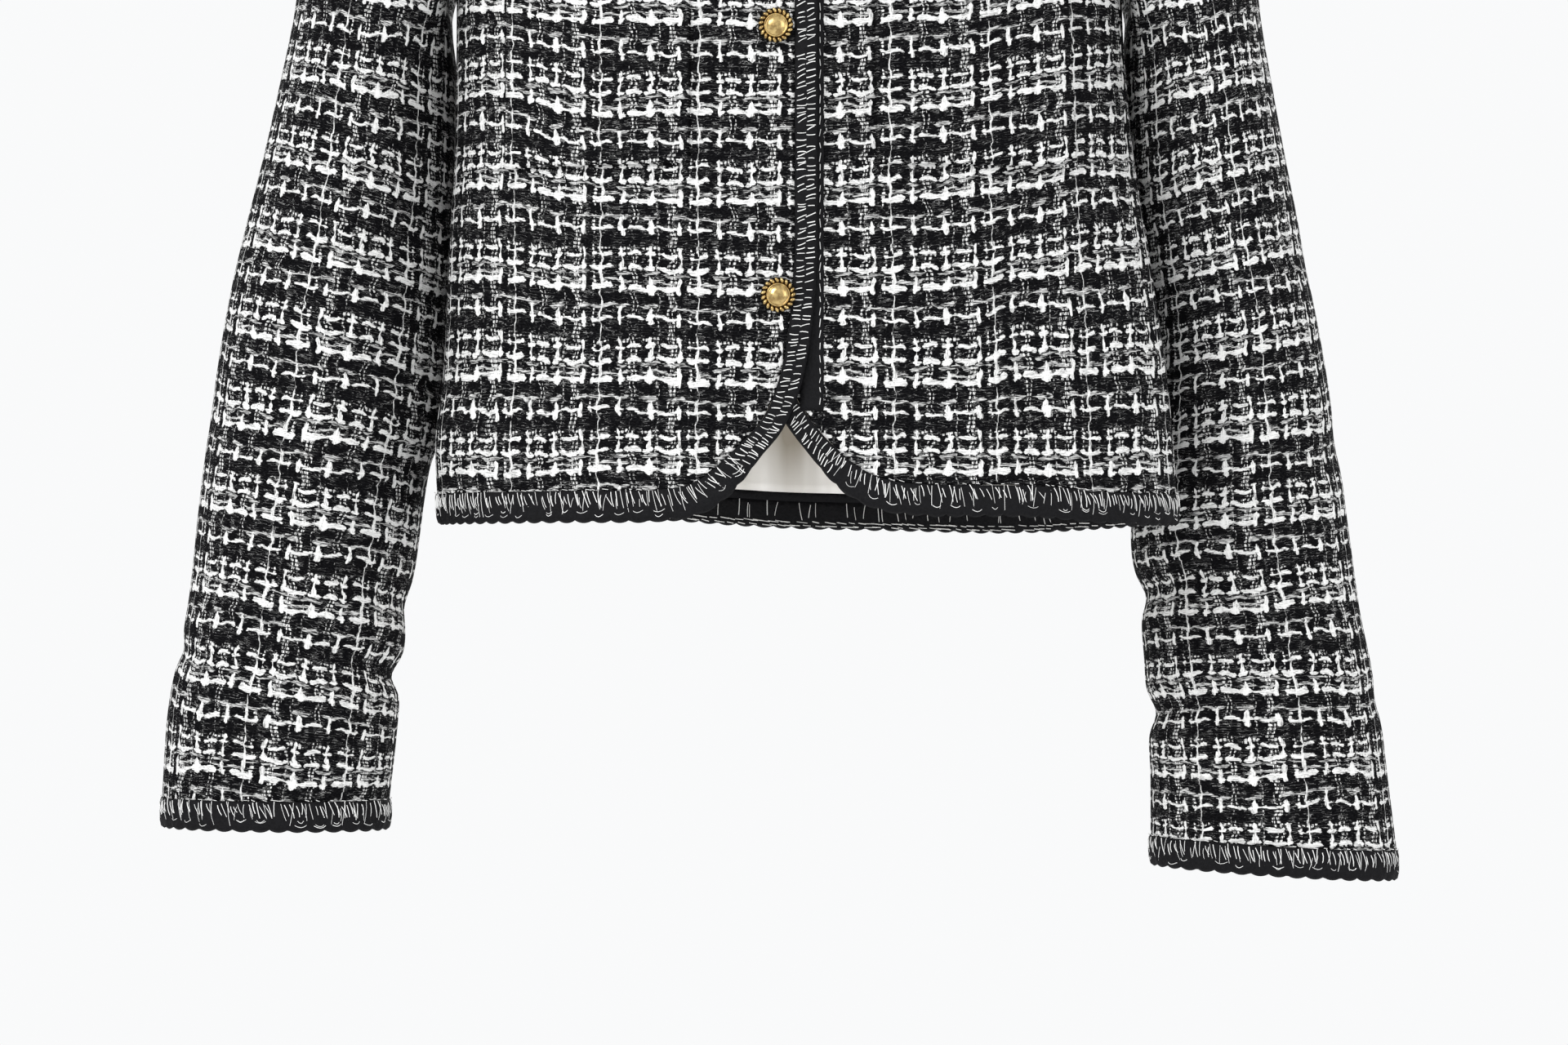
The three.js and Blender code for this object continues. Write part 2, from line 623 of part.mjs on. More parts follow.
function cuffEdging({ grid, normals }, side) {
  const last = grid.length - 1;
  const above = sleeveAxis(side, sleeveTable[side].at(-3).up);
  const path = edgePath(grid[last], normals[last], true, () => hemBand.step, () => above);
  if (path.length % 2) path.pop();
  return bandGeometry(path, () => hemBand, true);
}

// A patch pocket lies on its front panel, one seam gap out.
function pocketGeometry(side) {
  const levels = evenly(pocket.rows, pocket.bottom, pocket.top);
  const turns = evenly(pocket.columns, pocket.nearTurn, pocket.farTurn);
  const grid = levels.map((level) => turns.map((turn) => bodyPoint("front", side, turn, level)));
  const normals = gridNormals(grid, false);
  faceAway(grid, normals, inside);
  return wallGeometry(moved(grid, normals, pocketGap + wall), moved(grid, normals, pocketGap), false);
}

// The back's satin lining hangs just inside the tweed, with a little fullness.
function liningGeometry() {
  const levels = evenly(lining.rows, hemRow + lining.rise, lining.top);
  const places = evenly(lining.columns, -1, 1);
  const sideOf = (across) => (across < 0 ? "right" : "left");
  const reach = (level) => Math.min(lining.turn, degrees(body.reach(level)) - lining.short);
  const grid = levels.map((level) =>
    places.map((across) => bodyPoint("back", sideOf(across), Math.abs(across) * reach(level), level)),
  );
  const normals = gridNormals(grid, false);
  faceAway(grid, normals, inside);
  const fold = (c) => lining.ripple * Math.sin((Math.PI * lining.ripples * c) / (lining.columns - 1)) ** 2;
  const outer = grid.map((row, r) =>
    row.map((point, c) => point.clone().addScaledVector(normals[r][c], -lining.clear - fold(c))),
  );
  return wallGeometry(outer, moved(outer, normals, -lining.wall), false);
}

// A shank button: a dome inside a raised rope ring, turned about its own axis.
function buttonGeometry() {
  const { radius, rise } = button;
  const profile = [
    { out: 0, up: -button.back + seamGap },
    { out: 2.4, up: -button.back + seamGap },
    { out: 2.4, up: 0 },
    { out: radius - 0.8, up: 0.2 },
    { out: radius, up: 1.1 },
    { out: radius - 1.2, up: 2.2 },
    { out: radius - 3.1, up: 1.5 },
    { out: radius - 3.8, up: 2.5 },
    { out: 2.6, up: rise },
    { out: 0, up: rise + 0.2 },
  ];
  const outline = profile.map(({ out, up }) => new THREE.Vector2(out, up));
  const lathe = new THREE.LatheGeometry(outline, button.sides);
  lathe.rotateX(Math.PI); // its dome faces forward
  return lathe;
}

const colours = { tweed: 0x8c8c8e, edging: 0x121214, lining: 0xe9e2d6, button: 0xc9a254 };
const finish = {
  tweed: new THREE.MeshStandardMaterial({ color: colours.tweed, roughness: 0.95 }),
  edging: new THREE.MeshStandardMaterial({ color: colours.edging, roughness: 0.8 }),
  lining: new THREE.MeshStandardMaterial({ color: colours.lining, roughness: 0.4 }),
  button: new THREE.MeshStandardMaterial({ color: colours.button, roughness: 0.3, metalness: 1 }),
};

const jacket = new THREE.Group();

function add(name, geometry, material) {
  const mesh = new THREE.Mesh(geometry, material);
  mesh.name = name;
  jacket.add(mesh);
  return mesh;
}

for (const side of ["right", "left"]) {
  const front = fronts[side];
  const arm = sleeve(side);
  const frontInner = moved(front.grid, front.normals, -wall);
  const armInner = moved(arm.grid, arm.normals, -wall);
  add(`front_${side}`, wallGeometry(front.grid, frontInner, false), finish.tweed);
  add(`sleeve_${side}`, wallGeometry(arm.grid, armInner, true), finish.tweed);
  add(`pocket_${side}`, pocketGeometry(side), finish.tweed);
  add(`edging_front_${side}`, frontEdging(side), finish.edging);
  add(`edging_cuff_${side}`, cuffEdging(arm, side), finish.edging);
}
add("back", wallGeometry(back.grid, moved(back.grid, back.normals, -wall), false), finish.tweed);
add("edging_back_hem", backHemEdging(), finish.edging);
add("edging_back_neck", backNeckEdging(), finish.edging);
add("lining_back", liningGeometry(), finish.lining);
button.levels.forEach((level, i) => {
  const seat = bodyPoint("front", "right", 0, level);
  const mesh = add(`button_${i + 1}`, buttonGeometry(), finish.button);
  mesh.position.set(0, seat.y - button.back, seat.z);
});

export default jacket;
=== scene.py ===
# Looks of the cropped tweed jacket: cloth panels rebuilt on the frame's form, crocheted edging,
# gilt buttons, satin lining, studio light. Shapes are worked out in millimetres.
import random
from functools import partial
from math import asin, atan2, copysign, cos, exp, hypot, pi, radians, sin, tau

import bmesh
import bpy
from mathutils import Matrix, Vector


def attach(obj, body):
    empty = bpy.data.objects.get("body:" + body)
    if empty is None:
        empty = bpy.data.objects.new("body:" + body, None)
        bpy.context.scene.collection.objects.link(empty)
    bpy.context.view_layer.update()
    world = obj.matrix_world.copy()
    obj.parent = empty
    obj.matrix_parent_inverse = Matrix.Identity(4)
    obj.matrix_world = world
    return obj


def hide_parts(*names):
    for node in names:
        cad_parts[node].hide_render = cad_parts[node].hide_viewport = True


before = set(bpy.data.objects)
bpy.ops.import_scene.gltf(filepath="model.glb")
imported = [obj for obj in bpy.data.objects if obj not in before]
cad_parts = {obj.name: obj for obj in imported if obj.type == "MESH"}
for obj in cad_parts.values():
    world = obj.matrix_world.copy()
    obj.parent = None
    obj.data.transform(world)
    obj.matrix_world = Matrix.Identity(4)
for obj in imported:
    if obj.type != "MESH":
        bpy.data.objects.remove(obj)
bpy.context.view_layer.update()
scene = bpy.context.scene
random.seed(7)


def linked(name, data):
    made = bpy.data.objects.new(name, data)
    scene.collection.objects.link(made)
    return made


# camera: level, straight on to the front
view = {"lens": 119.4, "place": (0.0023, -2.6133, -0.470)}
camera = linked("camera", bpy.data.cameras.new("camera"))
camera.data.lens = view["lens"]
camera.data.sensor_width = 36
camera.data.dof.use_dof = False
camera.location = view["place"]
camera.rotation_euler = (pi / 2, 0, 0)
scene.camera = camera
scene.view_settings.view_transform = "Standard"
print("camera set")


def mix(a, b, t):
    return a + (b - a) * t


def clamp(x, low=0.0, high=1.0):
    return min(max(x, low), high)


def smooth(low, high, x):
    t = clamp((x - low) / (high - low))
    return t * t * (3 - 2 * t)


# a smooth curve through one column of a table, read at a value of its first column
def track(names, rows, column):
    place = names.index(column)
    rows = sorted(rows)
    at = [row[0] for row in rows]
    value = [row[place] for row in rows]
    chord = [(value[i + 1] - value[i]) / (at[i + 1] - at[i]) for i in range(len(at) - 1)]
    slope = []
    for i in range(len(at)):
        before = chord[max(i - 1, 0)]
        after = chord[min(i, len(chord) - 1)]
        slope.append(2 * before * after / (before + after) if before * after > 0 else 0)

    def read(x):
        i = 0
        while i < len(chord) - 1 and x > at[i + 1]:
            i += 1
        span = at[i + 1] - at[i]
        t = clamp((x - at[i]) / span)
        rise = t * t * (3 - 2 * t) * (value[i + 1] - value[i])
        return value[i] + rise + span * (t * (1 - t) ** 2 * slope[i] + t * t * (t - 1) * slope[i + 1])

    return read


def tracks(names, rows):
    return {name: track(names, rows, name) for name in names[1:]}


wall = 2.6
seam = 0.3
cut = {
    "hem": -470, "armpit": -208, "neck": -88, "shoulder": 28, "nape": -18, "lap": 7.4, "lapDrop": 5,
    "neckTurn": 0.363, "row": -454.2,
}
# how rows bend: round the shoulders, at the nape, above the hem and where the under front drops back
bend = {"round": 25, "nape": 2.2, "hemTop": -380, "dropFrom": 21, "dropTo": 50}
signOf = {"right": -1, "left": 1}

bodyNames = ("level", "right", "left", "front", "back", "flankR", "flankL", "fall", "reach")
body = tracks(bodyNames, [
    (-470, 171, 198.5, -120, 112, 2, -24, 0, 90),
    (-430, 173, 196.2, -120.5, 109.5, 2, -22, 0, 90),
    (-398, 169, 193.3, -121, 107.5, 2, -20, 0, 90),
    (-335, 166, 184.7, -122, 105, 1, -14, 0, 90),
    (-272, 162.5, 175.8, -122.5, 104.5, 0, -7, 0, 90),
    (-208, 162, 172, -119, 106, 0, 0, 0, 90),
    (-203, 162, 172, -118, 106, 0, 0, 0, 76),
    (-194, 162.5, 172, -117, 106, 0, 0, 0.01, 68),
    (-178, 164, 172.5, -115, 105, 0, 0, 0.02, 64.5),
    (-118, 174, 176.5, -104, 100, 1, 1, 0.07, 65),
    (-66, 184, 184, -87, 88, 3, 3, 0.14, 66.2),
    (-16, 194, 194, -56, 66, 5, 5, 0.25, 67.3),
    (8, 199, 199, -33, 45, 6, 6, 0.32, 67.6),
    (20, 201, 201, -15, 28, 7, 7, 0.36, 67.8),
    (28, 203, 203, 7, 7, 7, 7, 0.39, 67.8),
])

# the hem hangs a little uneven: how far below its level at x
hemDrop = tracks(("x", "front", "back"), [
    (-170, 1.6, 1.6), (-150, 1.2, 0.2), (-110, 0.6, -1.2), (-66, 0.4, -0.9), (-23, -0.5, 2.1),
    (5, -1.5, 3.8), (36, -2.2, 4.7), (75, -2.5, 5.6), (110, -2.6, 6.5), (135, -1.4, 6), (155, 0.8, 4.8),
    (190, 2, 2),
])

# the curve that cuts each front away, by height over the cloth's lower edge
cutaway = {
    "right": track(("up", "edge"), [
        (0, 62), (1.2, 48), (5, 38), (12, 29), (21, 19.5), (34, 7.8), (57, -1), (84, -5.2),
        (114, -cut["lap"]),
    ], "edge"),
    "left": track(("up", "edge"), [
        (0, 77), (1.4, 58), (4.3, 47.5), (9.2, 38), (19, 27), (29, 18), (40, 10.5), (58, 0.5),
        (84, -6), (114, -cut["lap"]),
    ], "edge"),
}

neckline = track(("level", "edge"), [
    (-88, -cut["lap"]), (-84, 15), (-66, 36), (-42, 51), (-16, 61.5), (8, 68), (28, 72),
], "edge")

sleeveNames = ("up", "near", "far", "mid", "depth", "tilt")
sleeveShape = {
    "right": tracks(sleeveNames, [
        (232, 163, 248, 20, 128, 0.24), (180, 163.5, 259.5, 24, 124, 0.26),
        (98, 168.5, 279.5, 27, 116, 0.24), (60, 171.5, 286, 28, 113, 0.22),
        (37, 178, 289.5, 28, 110, 0.2), (-5, 184, 295, 29, 106, 0.19),
        (-45, 189.5, 299.5, 30, 100, 0.18), (-80, 193, 306.5, 31, 94, 0.16),
        (-106, 195, 311.5, 32, 88, 0.08), (-140, 198.5, 314, 33, 80, 0.01),
    ]),
    "left": tracks(sleeveNames, [
        (232, 173, 246, 24, 130, 0.2), (180, 175, 256.5, 34, 126, 0.2),
        (98, 185, 274.5, 50, 116, 0.16), (37, 182.5, 286.5, 61, 110, 0.1),
        (-5, 181, 292.5, 65, 106, 0.06), (-45, 186, 298.5, 66, 100, 0.04), (-98, 189, 309, 65, 92, 0),
        (-135, 191, 313.5, 64, 86, -0.02), (-164.5, 191, 317.5, 63, 80, -0.06),
    ]),
}
sleeveEnds = {"right": (232, -140), "left": (232, -164.5)}

# creases across each sleeve: height, turn round it (0 beside the body, 90 in front), reach round it
# in degrees, width, depth and climb
creases = {
    "right": [
        (-67, 10, 75, 8, 5.5, 6), (-73, 185, 60, 7, 2.6, 4), (-28, 20, 70, 10, 2.6, 10),
        (60, 100, 60, 14, 1.8, -18), (150, 60, 55, 13, 2.2, -24), (-50, 275, 60, 12, 3, 12),
        (110, 290, 70, 15, 2.4, 16),
    ],
    "left": [
        (-33, 15, 70, 9, 4.2, 8), (-97, 5, 70, 9, 5, 6), (-92, 185, 60, 9, 1.6, -4),
        (30, 150, 60, 13, 2, 14), (140, 110, 60, 14, 2, -20), (-60, 270, 60, 12, 3, -12),
        (70, 280, 70, 15, 2.4, 15),
    ],
}


def bodyPoint(face, side, turn, level):
    flank = body["flankR" if side == "right" else "flankL"](level)
    deep = body[face](level)
    x = signOf[side] * body[side](level) * sin(turn)
    y = flank + (deep - flank) * cos(turn)
    away = hypot(x, bend["round"]) - bend["round"]
    atHem = 1 - smooth(cut["hem"], bend["hemTop"], level)
    drop = body["fall"](level) * away + atHem * hemDrop[face](x)
    return Vector((x, y, level - drop))


def frontTurn(side, across, level):
    wide = body[side](level)
    edge = neckline(level) if level >= cut["neck"] else cutaway[side](max(level - cut["row"], 0))
    return mix(asin(edge / wide), panelReach(side, level), across)


# how far round a panel goes to its side seam or armhole
def panelReach(side, level):
    return radians(body["reach"](level)) - seam / 2 / body[side](level)


# how far the under front lies behind the outer one
def lapBehind(x):
    return cut["lapDrop"] * (1 - smooth(bend["dropFrom"], bend["dropTo"], x))


def frontPoint(side, across, level):
    point = bodyPoint("front", side, frontTurn(side, across, level), level)
    if side == "left":
        point.y += lapBehind(point.x)
    return point


def sideAt(across):
    return "right" if across < 0 else "left"


def backTurn(across, row):
    return copysign(abs(across) * panelReach(sideAt(across), row), across)


def backPoint(across, row):
    turn = abs(backTurn(across, row))
    share = min(turn / cut["neckTurn"], 1)
    top = mix(cut["nape"], cut["shoulder"], share ** bend["nape"])
    climb = max((row - cut["armpit"]) / (cut["shoulder"] - cut["armpit"]), 0)
    level = mix(cut["armpit"], top, climb) if row > cut["armpit"] else row
    return bodyPoint("back", sideAt(across), turn, level)


# steps that a surface's slope is taken over
probe = {"up": 0.4, "across": 0.003}


# the way out of the garment at a place of a panel
def facing(pointAt, across, level):
    above = min(level + probe["up"], cut["shoulder"])
    rise = pointAt(across, above) - pointAt(across, above - 2 * probe["up"])
    along = pointAt(across + probe["across"], level) - pointAt(across - probe["across"], level)
    normal = along.cross(rise).normalized()
    point = pointAt(across, level)
    return normal if normal.dot(point - Vector((0, 0, point.z))) > 0 else -normal


# the weave's repeat and where it starts, in millimetres of cloth; rows bow up to the sides
repeat = {"across": 48.3, "down": 42.8, "right": -45.2, "left": 45.9, "back": 20, "row": -445.1}
rowBow = {"right": 6, "left": 10, "from": -440, "to": -330, "reach": 150, "power": 1.5}
sideRise = {"most": 8.7, "foot": -450, "height": 190, "from": 80, "to": 150}
arcSteps = 90


def arcTable(half, deep):
    total = [0.0]
    for i in range(arcSteps):
        turn = (i + 0.5) / arcSteps * pi / 2
        run = hypot(half * cos(turn), deep * sin(turn))
        total.append(total[-1] + run * pi / 2 / arcSteps)
    return total


arcs = {"front": arcTable(168, 119), "back": arcTable(168, 104)}


def arc(face, turn):
    place = clamp(abs(turn) / (pi / 2), 0, 0.9999) * arcSteps
    i = int(place)
    return copysign(mix(arcs[face][i], arcs[face][i + 1], place - i), turn)


def bodyYarn(face, side, turn, point):
    along = (point.x + arc(face, turn * signOf[side])) / 2
    start = repeat["back" if face == "back" else side]
    aside = abs(point.x)
    bow = rowBow[side] * smooth(rowBow["from"], rowBow["to"], point.z)
    bow *= (aside / rowBow["reach"]) ** rowBow["power"]
    climb = clamp((point.z - sideRise["foot"]) / sideRise["height"])
    bow += sideRise["most"] * climb * smooth(sideRise["from"], sideRise["to"], aside)
    return along - start, point.z - bow - repeat["row"]


def metres(point):
    return point * 0.001


# the level way out from a middle to a point
def outwards(point, middle=Vector((0, 0, 0))):
    return Vector((point.x - middle.x, point.y - middle.y, 0)).normalized()


def centreLine(level):
    return Vector((0, 0, level))


# a cloth piece from an even grid laid on a surface, with its thickness and its outer and inner material;
# yarnAt gives its place in the weave
def clothGrid(name, columns, rows, pointAt, yarnAt, thick, materials, middle=centreLine, wrapped=False):
    work = bmesh.new()
    yarn = work.loops.layers.uv.new("yarn")
    bmesh.ops.create_grid(work, x_segments=columns, y_segments=rows, size=0.5)
    for face in work.faces:
        face.smooth = True
        for loop in face.loops:
            loop[yarn].uv = yarnAt(loop.vert.co.x + 0.5, loop.vert.co.y + 0.5)
    for vert in work.verts:
        vert.co = metres(pointAt(vert.co.x + 0.5, vert.co.y + 0.5))
    if wrapped:
        bmesh.ops.remove_doubles(work, verts=work.verts, dist=0.00002)
    bmesh.ops.recalc_face_normals(work, faces=work.faces)
    work.normal_update()
    work.faces.ensure_lookup_table()
    sample = work.faces[len(work.faces) // 2]
    centre = sample.calc_center_median()
    if sample.normal.dot(centre - metres(middle(centre.z * 1000))) < 0:
        bmesh.ops.reverse_faces(work, faces=work.faces)
    piece = meshPiece(name, work, *materials)
    solid = piece.modifiers.new("wall", "SOLIDIFY")
    solid.thickness = thick * 0.001
    solid.offset = -1
    solid.material_offset = 1
    solid.material_offset_rim = 0
    return piece


def meshPiece(name, work, *materials):
    mesh = bpy.data.meshes.new(name)
    work.to_mesh(mesh)
    work.free()
    for material in materials:
        mesh.materials.append(material)
    return linked(name, mesh)


# shader trees: a wire carries one output, and sums of wires make math nodes
class Tree:
    def __init__(self, name):
        self.material = bpy.data.materials.new(name)
        self.material.use_nodes = True
        self.nodes = self.material.node_tree.nodes
        self.links = self.material.node_tree.links
        self.nodes.clear()

    def add(self, kind, settings=None, sockets=None, out=0):
        node = self.nodes.new(kind)
        for name, value in (settings or {}).items():
            setattr(node, name, value)
        for name, value in (sockets or {}).items():
            if isinstance(value, Wire):
                self.links.new(value.socket, node.inputs[name])
            else:
                node.inputs[name].default_value = value
        return Wire(self, node.outputs[out]) if len(node.outputs) else node

    def bump(self, height, strength, distance):
        sockets = {"Height": height, "Strength": strength, "Distance": distance}
        return self.add("ShaderNodeBump", sockets=sockets)

    def finish(self, sockets):
        surface = self.add("ShaderNodeBsdfPrincipled", sockets=sockets)
        self.add("ShaderNodeOutputMaterial", sockets={"Surface": surface})
        return self.material


class Wire:
    def __init__(self, tree, socket):
        self.tree = tree
        self.socket = socket

    def math(self, operation, *others):
        return self.tree.add("ShaderNodeMath", {"operation": operation}, dict(enumerate((self, *others))))

    def __add__(self, other):
        return self.math("ADD", other)

    def __sub__(self, other):
        return self.math("SUBTRACT", other)

    def __mul__(self, other):
        return self.math("MULTIPLY", other)

    def __truediv__(self, other):
        return self.math("DIVIDE", other)

    def __rsub__(self, other):
        return self.math("MULTIPLY_ADD", -1, other)

    # 0 below low, 1 above high
    def step(self, low, high):
        sockets = {"Value": self, "From Min": low, "From Max": high}
        return self.tree.add("ShaderNodeMapRange", {"interpolation_type": "SMOOTHSTEP"}, sockets)

    def ramp(self, stops):
        wire = self.tree.add("ShaderNodeValToRGB", sockets={"Fac": self})
        elements = wire.socket.node.color_ramp.elements
        while len(elements) < len(stops):
            elements.new(0.5)
        for element, (place, value) in zip(elements, stops):
            element.position = place
            element.color = (value, value, value, 1)
        return wire


def noiseOf(tree, vector, scale, detail):
    return tree.add("ShaderNodeTexNoise", sockets={"Vector": vector, "Scale": scale, "Detail": detail})


def vectorOf(tree, x, y, z=0):
    return tree.add("ShaderNodeCombineXYZ", sockets={"X": x, "Y": y, "Z": z})


def colourOf(tree, share, first, second):
    sockets = {0: share, 6: first, 7: second}
    return tree.add("ShaderNodeMix", {"data_type": "RGBA"}, sockets, out=2)


# a chart of yarns. at: place in the repeat, half: thickness, wave: swing along the yarn, bright: how
# light, loose: whether it is broken up; runs: where along the repeat it shows and how thick, 0 to 1
def yarnTable(rows):
    return [dict(zip(("at", "half", "wave", "bright", "loose", "runs"), row)) for row in rows]


# weft rows of one repeat, down from the slub row
weftRows = yarnTable([
    (0, 1.85, 0.35, 1, False, [
        (0.02, 0), (0.035, 0.7), (0.08, 0.75), (0.12, 0.95), (0.235, 0.9), (0.265, 0), (0.3, 0),
        (0.33, 0.7), (0.37, 0.6), (0.395, 0), (0.415, 0.75), (0.5, 1), (0.56, 0.7), (0.59, 0.55),
        (0.61, 1), (0.68, 0.95), (0.71, 0.35), (0.77, 0.5), (0.82, 0.95), (0.9, 0.75), (0.94, 0.9),
        (0.96, 0)]),
    (39.8, 0.9, 0.5, 0.72, True, [
        (0.02, 0.2), (0.1, 0.3), (0.14, 0.9), (0.27, 1), (0.4, 0.9), (0.45, 0.3), (0.56, 0.2), (0.6, 0.8),
        (0.95, 1), (0.97, 0)]),
    (8.8, 1.2, 0.5, 0.72, True, [
        (0, 0.5), (0.1, 0.8), (0.14, 0.9), (0.27, 0.6), (0.3, 1), (0.38, 1), (0.44, 0.1), (0.55, 0.2),
        (0.58, 1), (0.7, 1), (0.72, 0), (0.86, 0), (0.88, 0.9), (1, 0.9)]),
    (14.6, 1.15, 0.6, 1, False, [
        (0.01, 0), (0.03, 0.8), (0.08, 0.7), (0.13, 1), (0.24, 0.7), (0.27, 0), (0.295, 0), (0.31, 0.6),
        (0.375, 0.5), (0.395, 0), (0.42, 0.85), (0.57, 0.75), (0.59, 0.3), (0.61, 1), (0.68, 1),
        (0.7, 0.35), (0.74, 0.9), (0.9, 0.8), (0.95, 1), (0.97, 0)]),
    (24.4, 0.8, 0.4, 0.8, False, [
        (0.06, 0), (0.1, 0.8), (0.2, 0.7), (0.23, 0), (0.29, 0), (0.32, 1), (0.42, 1), (0.46, 0.1),
        (0.56, 0.1), (0.58, 1), (0.72, 0.9), (0.76, 0), (0.86, 0), (0.88, 0.9), (0.95, 0.8), (0.98, 0.2)]),
    (27.2, 1.25, 0.5, 1, False, [
        (0.02, 0), (0.04, 0.8), (0.09, 0.3), (0.14, 0.8), (0.23, 0.9), (0.25, 0), (0.29, 0), (0.31, 0.7),
        (0.37, 0.8), (0.395, 0), (0.42, 0.9), (0.54, 0.9), (0.56, 0), (0.59, 0), (0.61, 0.9), (0.68, 0.9),
        (0.7, 0), (0.73, 0), (0.76, 0.9), (0.9, 0.8), (0.92, 0), (0.94, 0.9), (0.965, 0)]),
    (33.6, 1.45, 0.6, 1, False, [
        (0, 0), (0.025, 0.8), (0.12, 1), (0.22, 0.8), (0.25, 0), (0.295, 0), (0.32, 0.8), (0.37, 0.7),
        (0.395, 0), (0.415, 0.9), (0.55, 0.85), (0.57, 0), (0.6, 0.9), (0.68, 0.8), (0.7, 0), (0.73, 0.7),
        (0.83, 1), (0.91, 0.8), (0.93, 0.2), (0.945, 0.9), (0.965, 0.9), (0.98, 0)]),
    (36.2, 0.95, 0.6, 0.6, True, [
        (0, 0.4), (0.13, 0.5), (0.15, 0.1), (0.26, 0), (0.3, 1), (0.4, 0.9), (0.45, 0.2), (0.54, 0),
        (0.58, 1), (0.72, 1), (0.76, 0.2), (0.82, 1), (0.95, 1), (1, 0.5)]),
])
# warp columns of one repeat, their runs charted down the cloth from the slub row
warpColumns = yarnTable([
    (2.4, 0.82, 0.3, 0.85, False, [
        (0, 1), (0.05, 1), (0.08, 0), (0.2, 0), (0.25, 0.8), (0.38, 0.8), (0.42, 0.1), (0.53, 0.1),
        (0.57, 0.9), (0.66, 0.6), (0.71, 0.1), (0.74, 0.9), (0.8, 0.5), (0.85, 0.1), (0.9, 1), (1, 1)]),
    (5.9, 1.0, 0.4, 0.9, False, [
        (0, 0.5), (0.05, 0.3), (0.14, 0.35), (0.24, 0.8), (0.33, 0.7), (0.38, 0.35), (0.52, 0.35),
        (0.56, 0.6), (0.68, 0.5), (0.75, 0.9), (0.93, 1), (1, 0.5)]),
    (16.2, 1.2, 0.4, 1, False, [
        (0, 1), (0.045, 0.8), (0.06, 0), (0.19, 0), (0.23, 0.8), (0.28, 0.7), (0.33, 1), (0.41, 0.9),
        (0.425, 0), (0.53, 0), (0.57, 0.9), (0.64, 0.5), (0.68, 0.3), (0.73, 0.9), (0.81, 0.6), (0.83, 0),
        (0.87, 0), (0.9, 0.8), (0.96, 0.9), (1, 1)]),
    (21.6, 0.6, 0.8, 0.8, False, [
        (0, 0.2), (0.04, 0.7), (0.2, 0.9), (0.32, 0.5), (0.36, 0.3), (0.5, 0.3), (0.55, 0.6), (0.64, 1),
        (0.74, 0.8), (0.8, 1), (0.93, 1), (1, 0.2)]),
    (23.6, 0.65, 0.7, 0.75, False, [
        (0, 0.1), (0.05, 0.5), (0.19, 0.6), (0.34, 0.5), (0.37, 0), (0.5, 0), (0.55, 0.7), (0.64, 0.9),
        (0.74, 0.8), (0.8, 1), (0.93, 0.9), (1, 0.1)]),
    (31.2, 1.8, 0.3, 1, False, [
        (0, 1), (0.05, 0.9), (0.065, 0), (0.22, 0), (0.26, 0.6), (0.31, 0.9), (0.41, 0.95), (0.43, 0),
        (0.54, 0), (0.57, 0.6), (0.63, 0.5), (0.68, 0.35), (0.73, 0.75), (0.79, 0.6), (0.81, 0), (0.87, 0),
        (0.91, 0.6), (1, 1)]),
    (34.8, 0.6, 0.5, 0.6, False, [
        (0, 0.3), (0.05, 0.7), (0.2, 0.5), (0.3, 0.9), (0.4, 0.7), (0.54, 0.4), (0.6, 0.9), (0.76, 0.9),
        (0.84, 0.5), (0.92, 0.7), (1, 0.3)]),
    (40.6, 0.85, 0.9, 0.9, True, [
        (0, 0.6), (0.05, 1), (0.22, 1), (0.3, 0.6), (0.36, 0.7), (0.4, 1), (0.53, 1), (0.6, 0.4),
        (0.74, 0.9), (0.92, 1), (1, 0.6)]),
    (42.6, 0.85, 0.8, 0.9, True, [
        (0, 0.6), (0.05, 1), (0.22, 0.9), (0.28, 0.4), (0.35, 0.6), (0.4, 1), (0.53, 1), (0.6, 0.6),
        (0.74, 0.7), (0.92, 1), (1, 0.6)]),
    (45.4, 1.25, 0.3, 1, False, [
        (0, 1), (0.05, 1), (0.065, 0), (0.25, 0), (0.29, 0.9), (0.42, 1), (0.435, 0), (0.54, 0),
        (0.57, 0.9), (0.64, 0.7), (0.68, 0.2), (0.73, 0.9), (0.8, 0.9), (0.82, 0), (0.86, 0), (0.9, 1),
        (1, 1)]),
])


# dark lines between the plies of a yarn, where a field crosses its middle
def plyOf(field):
    return (field - 0.5).math("ABSOLUTE").step(0.0, 0.03) * 0.5 + 0.5


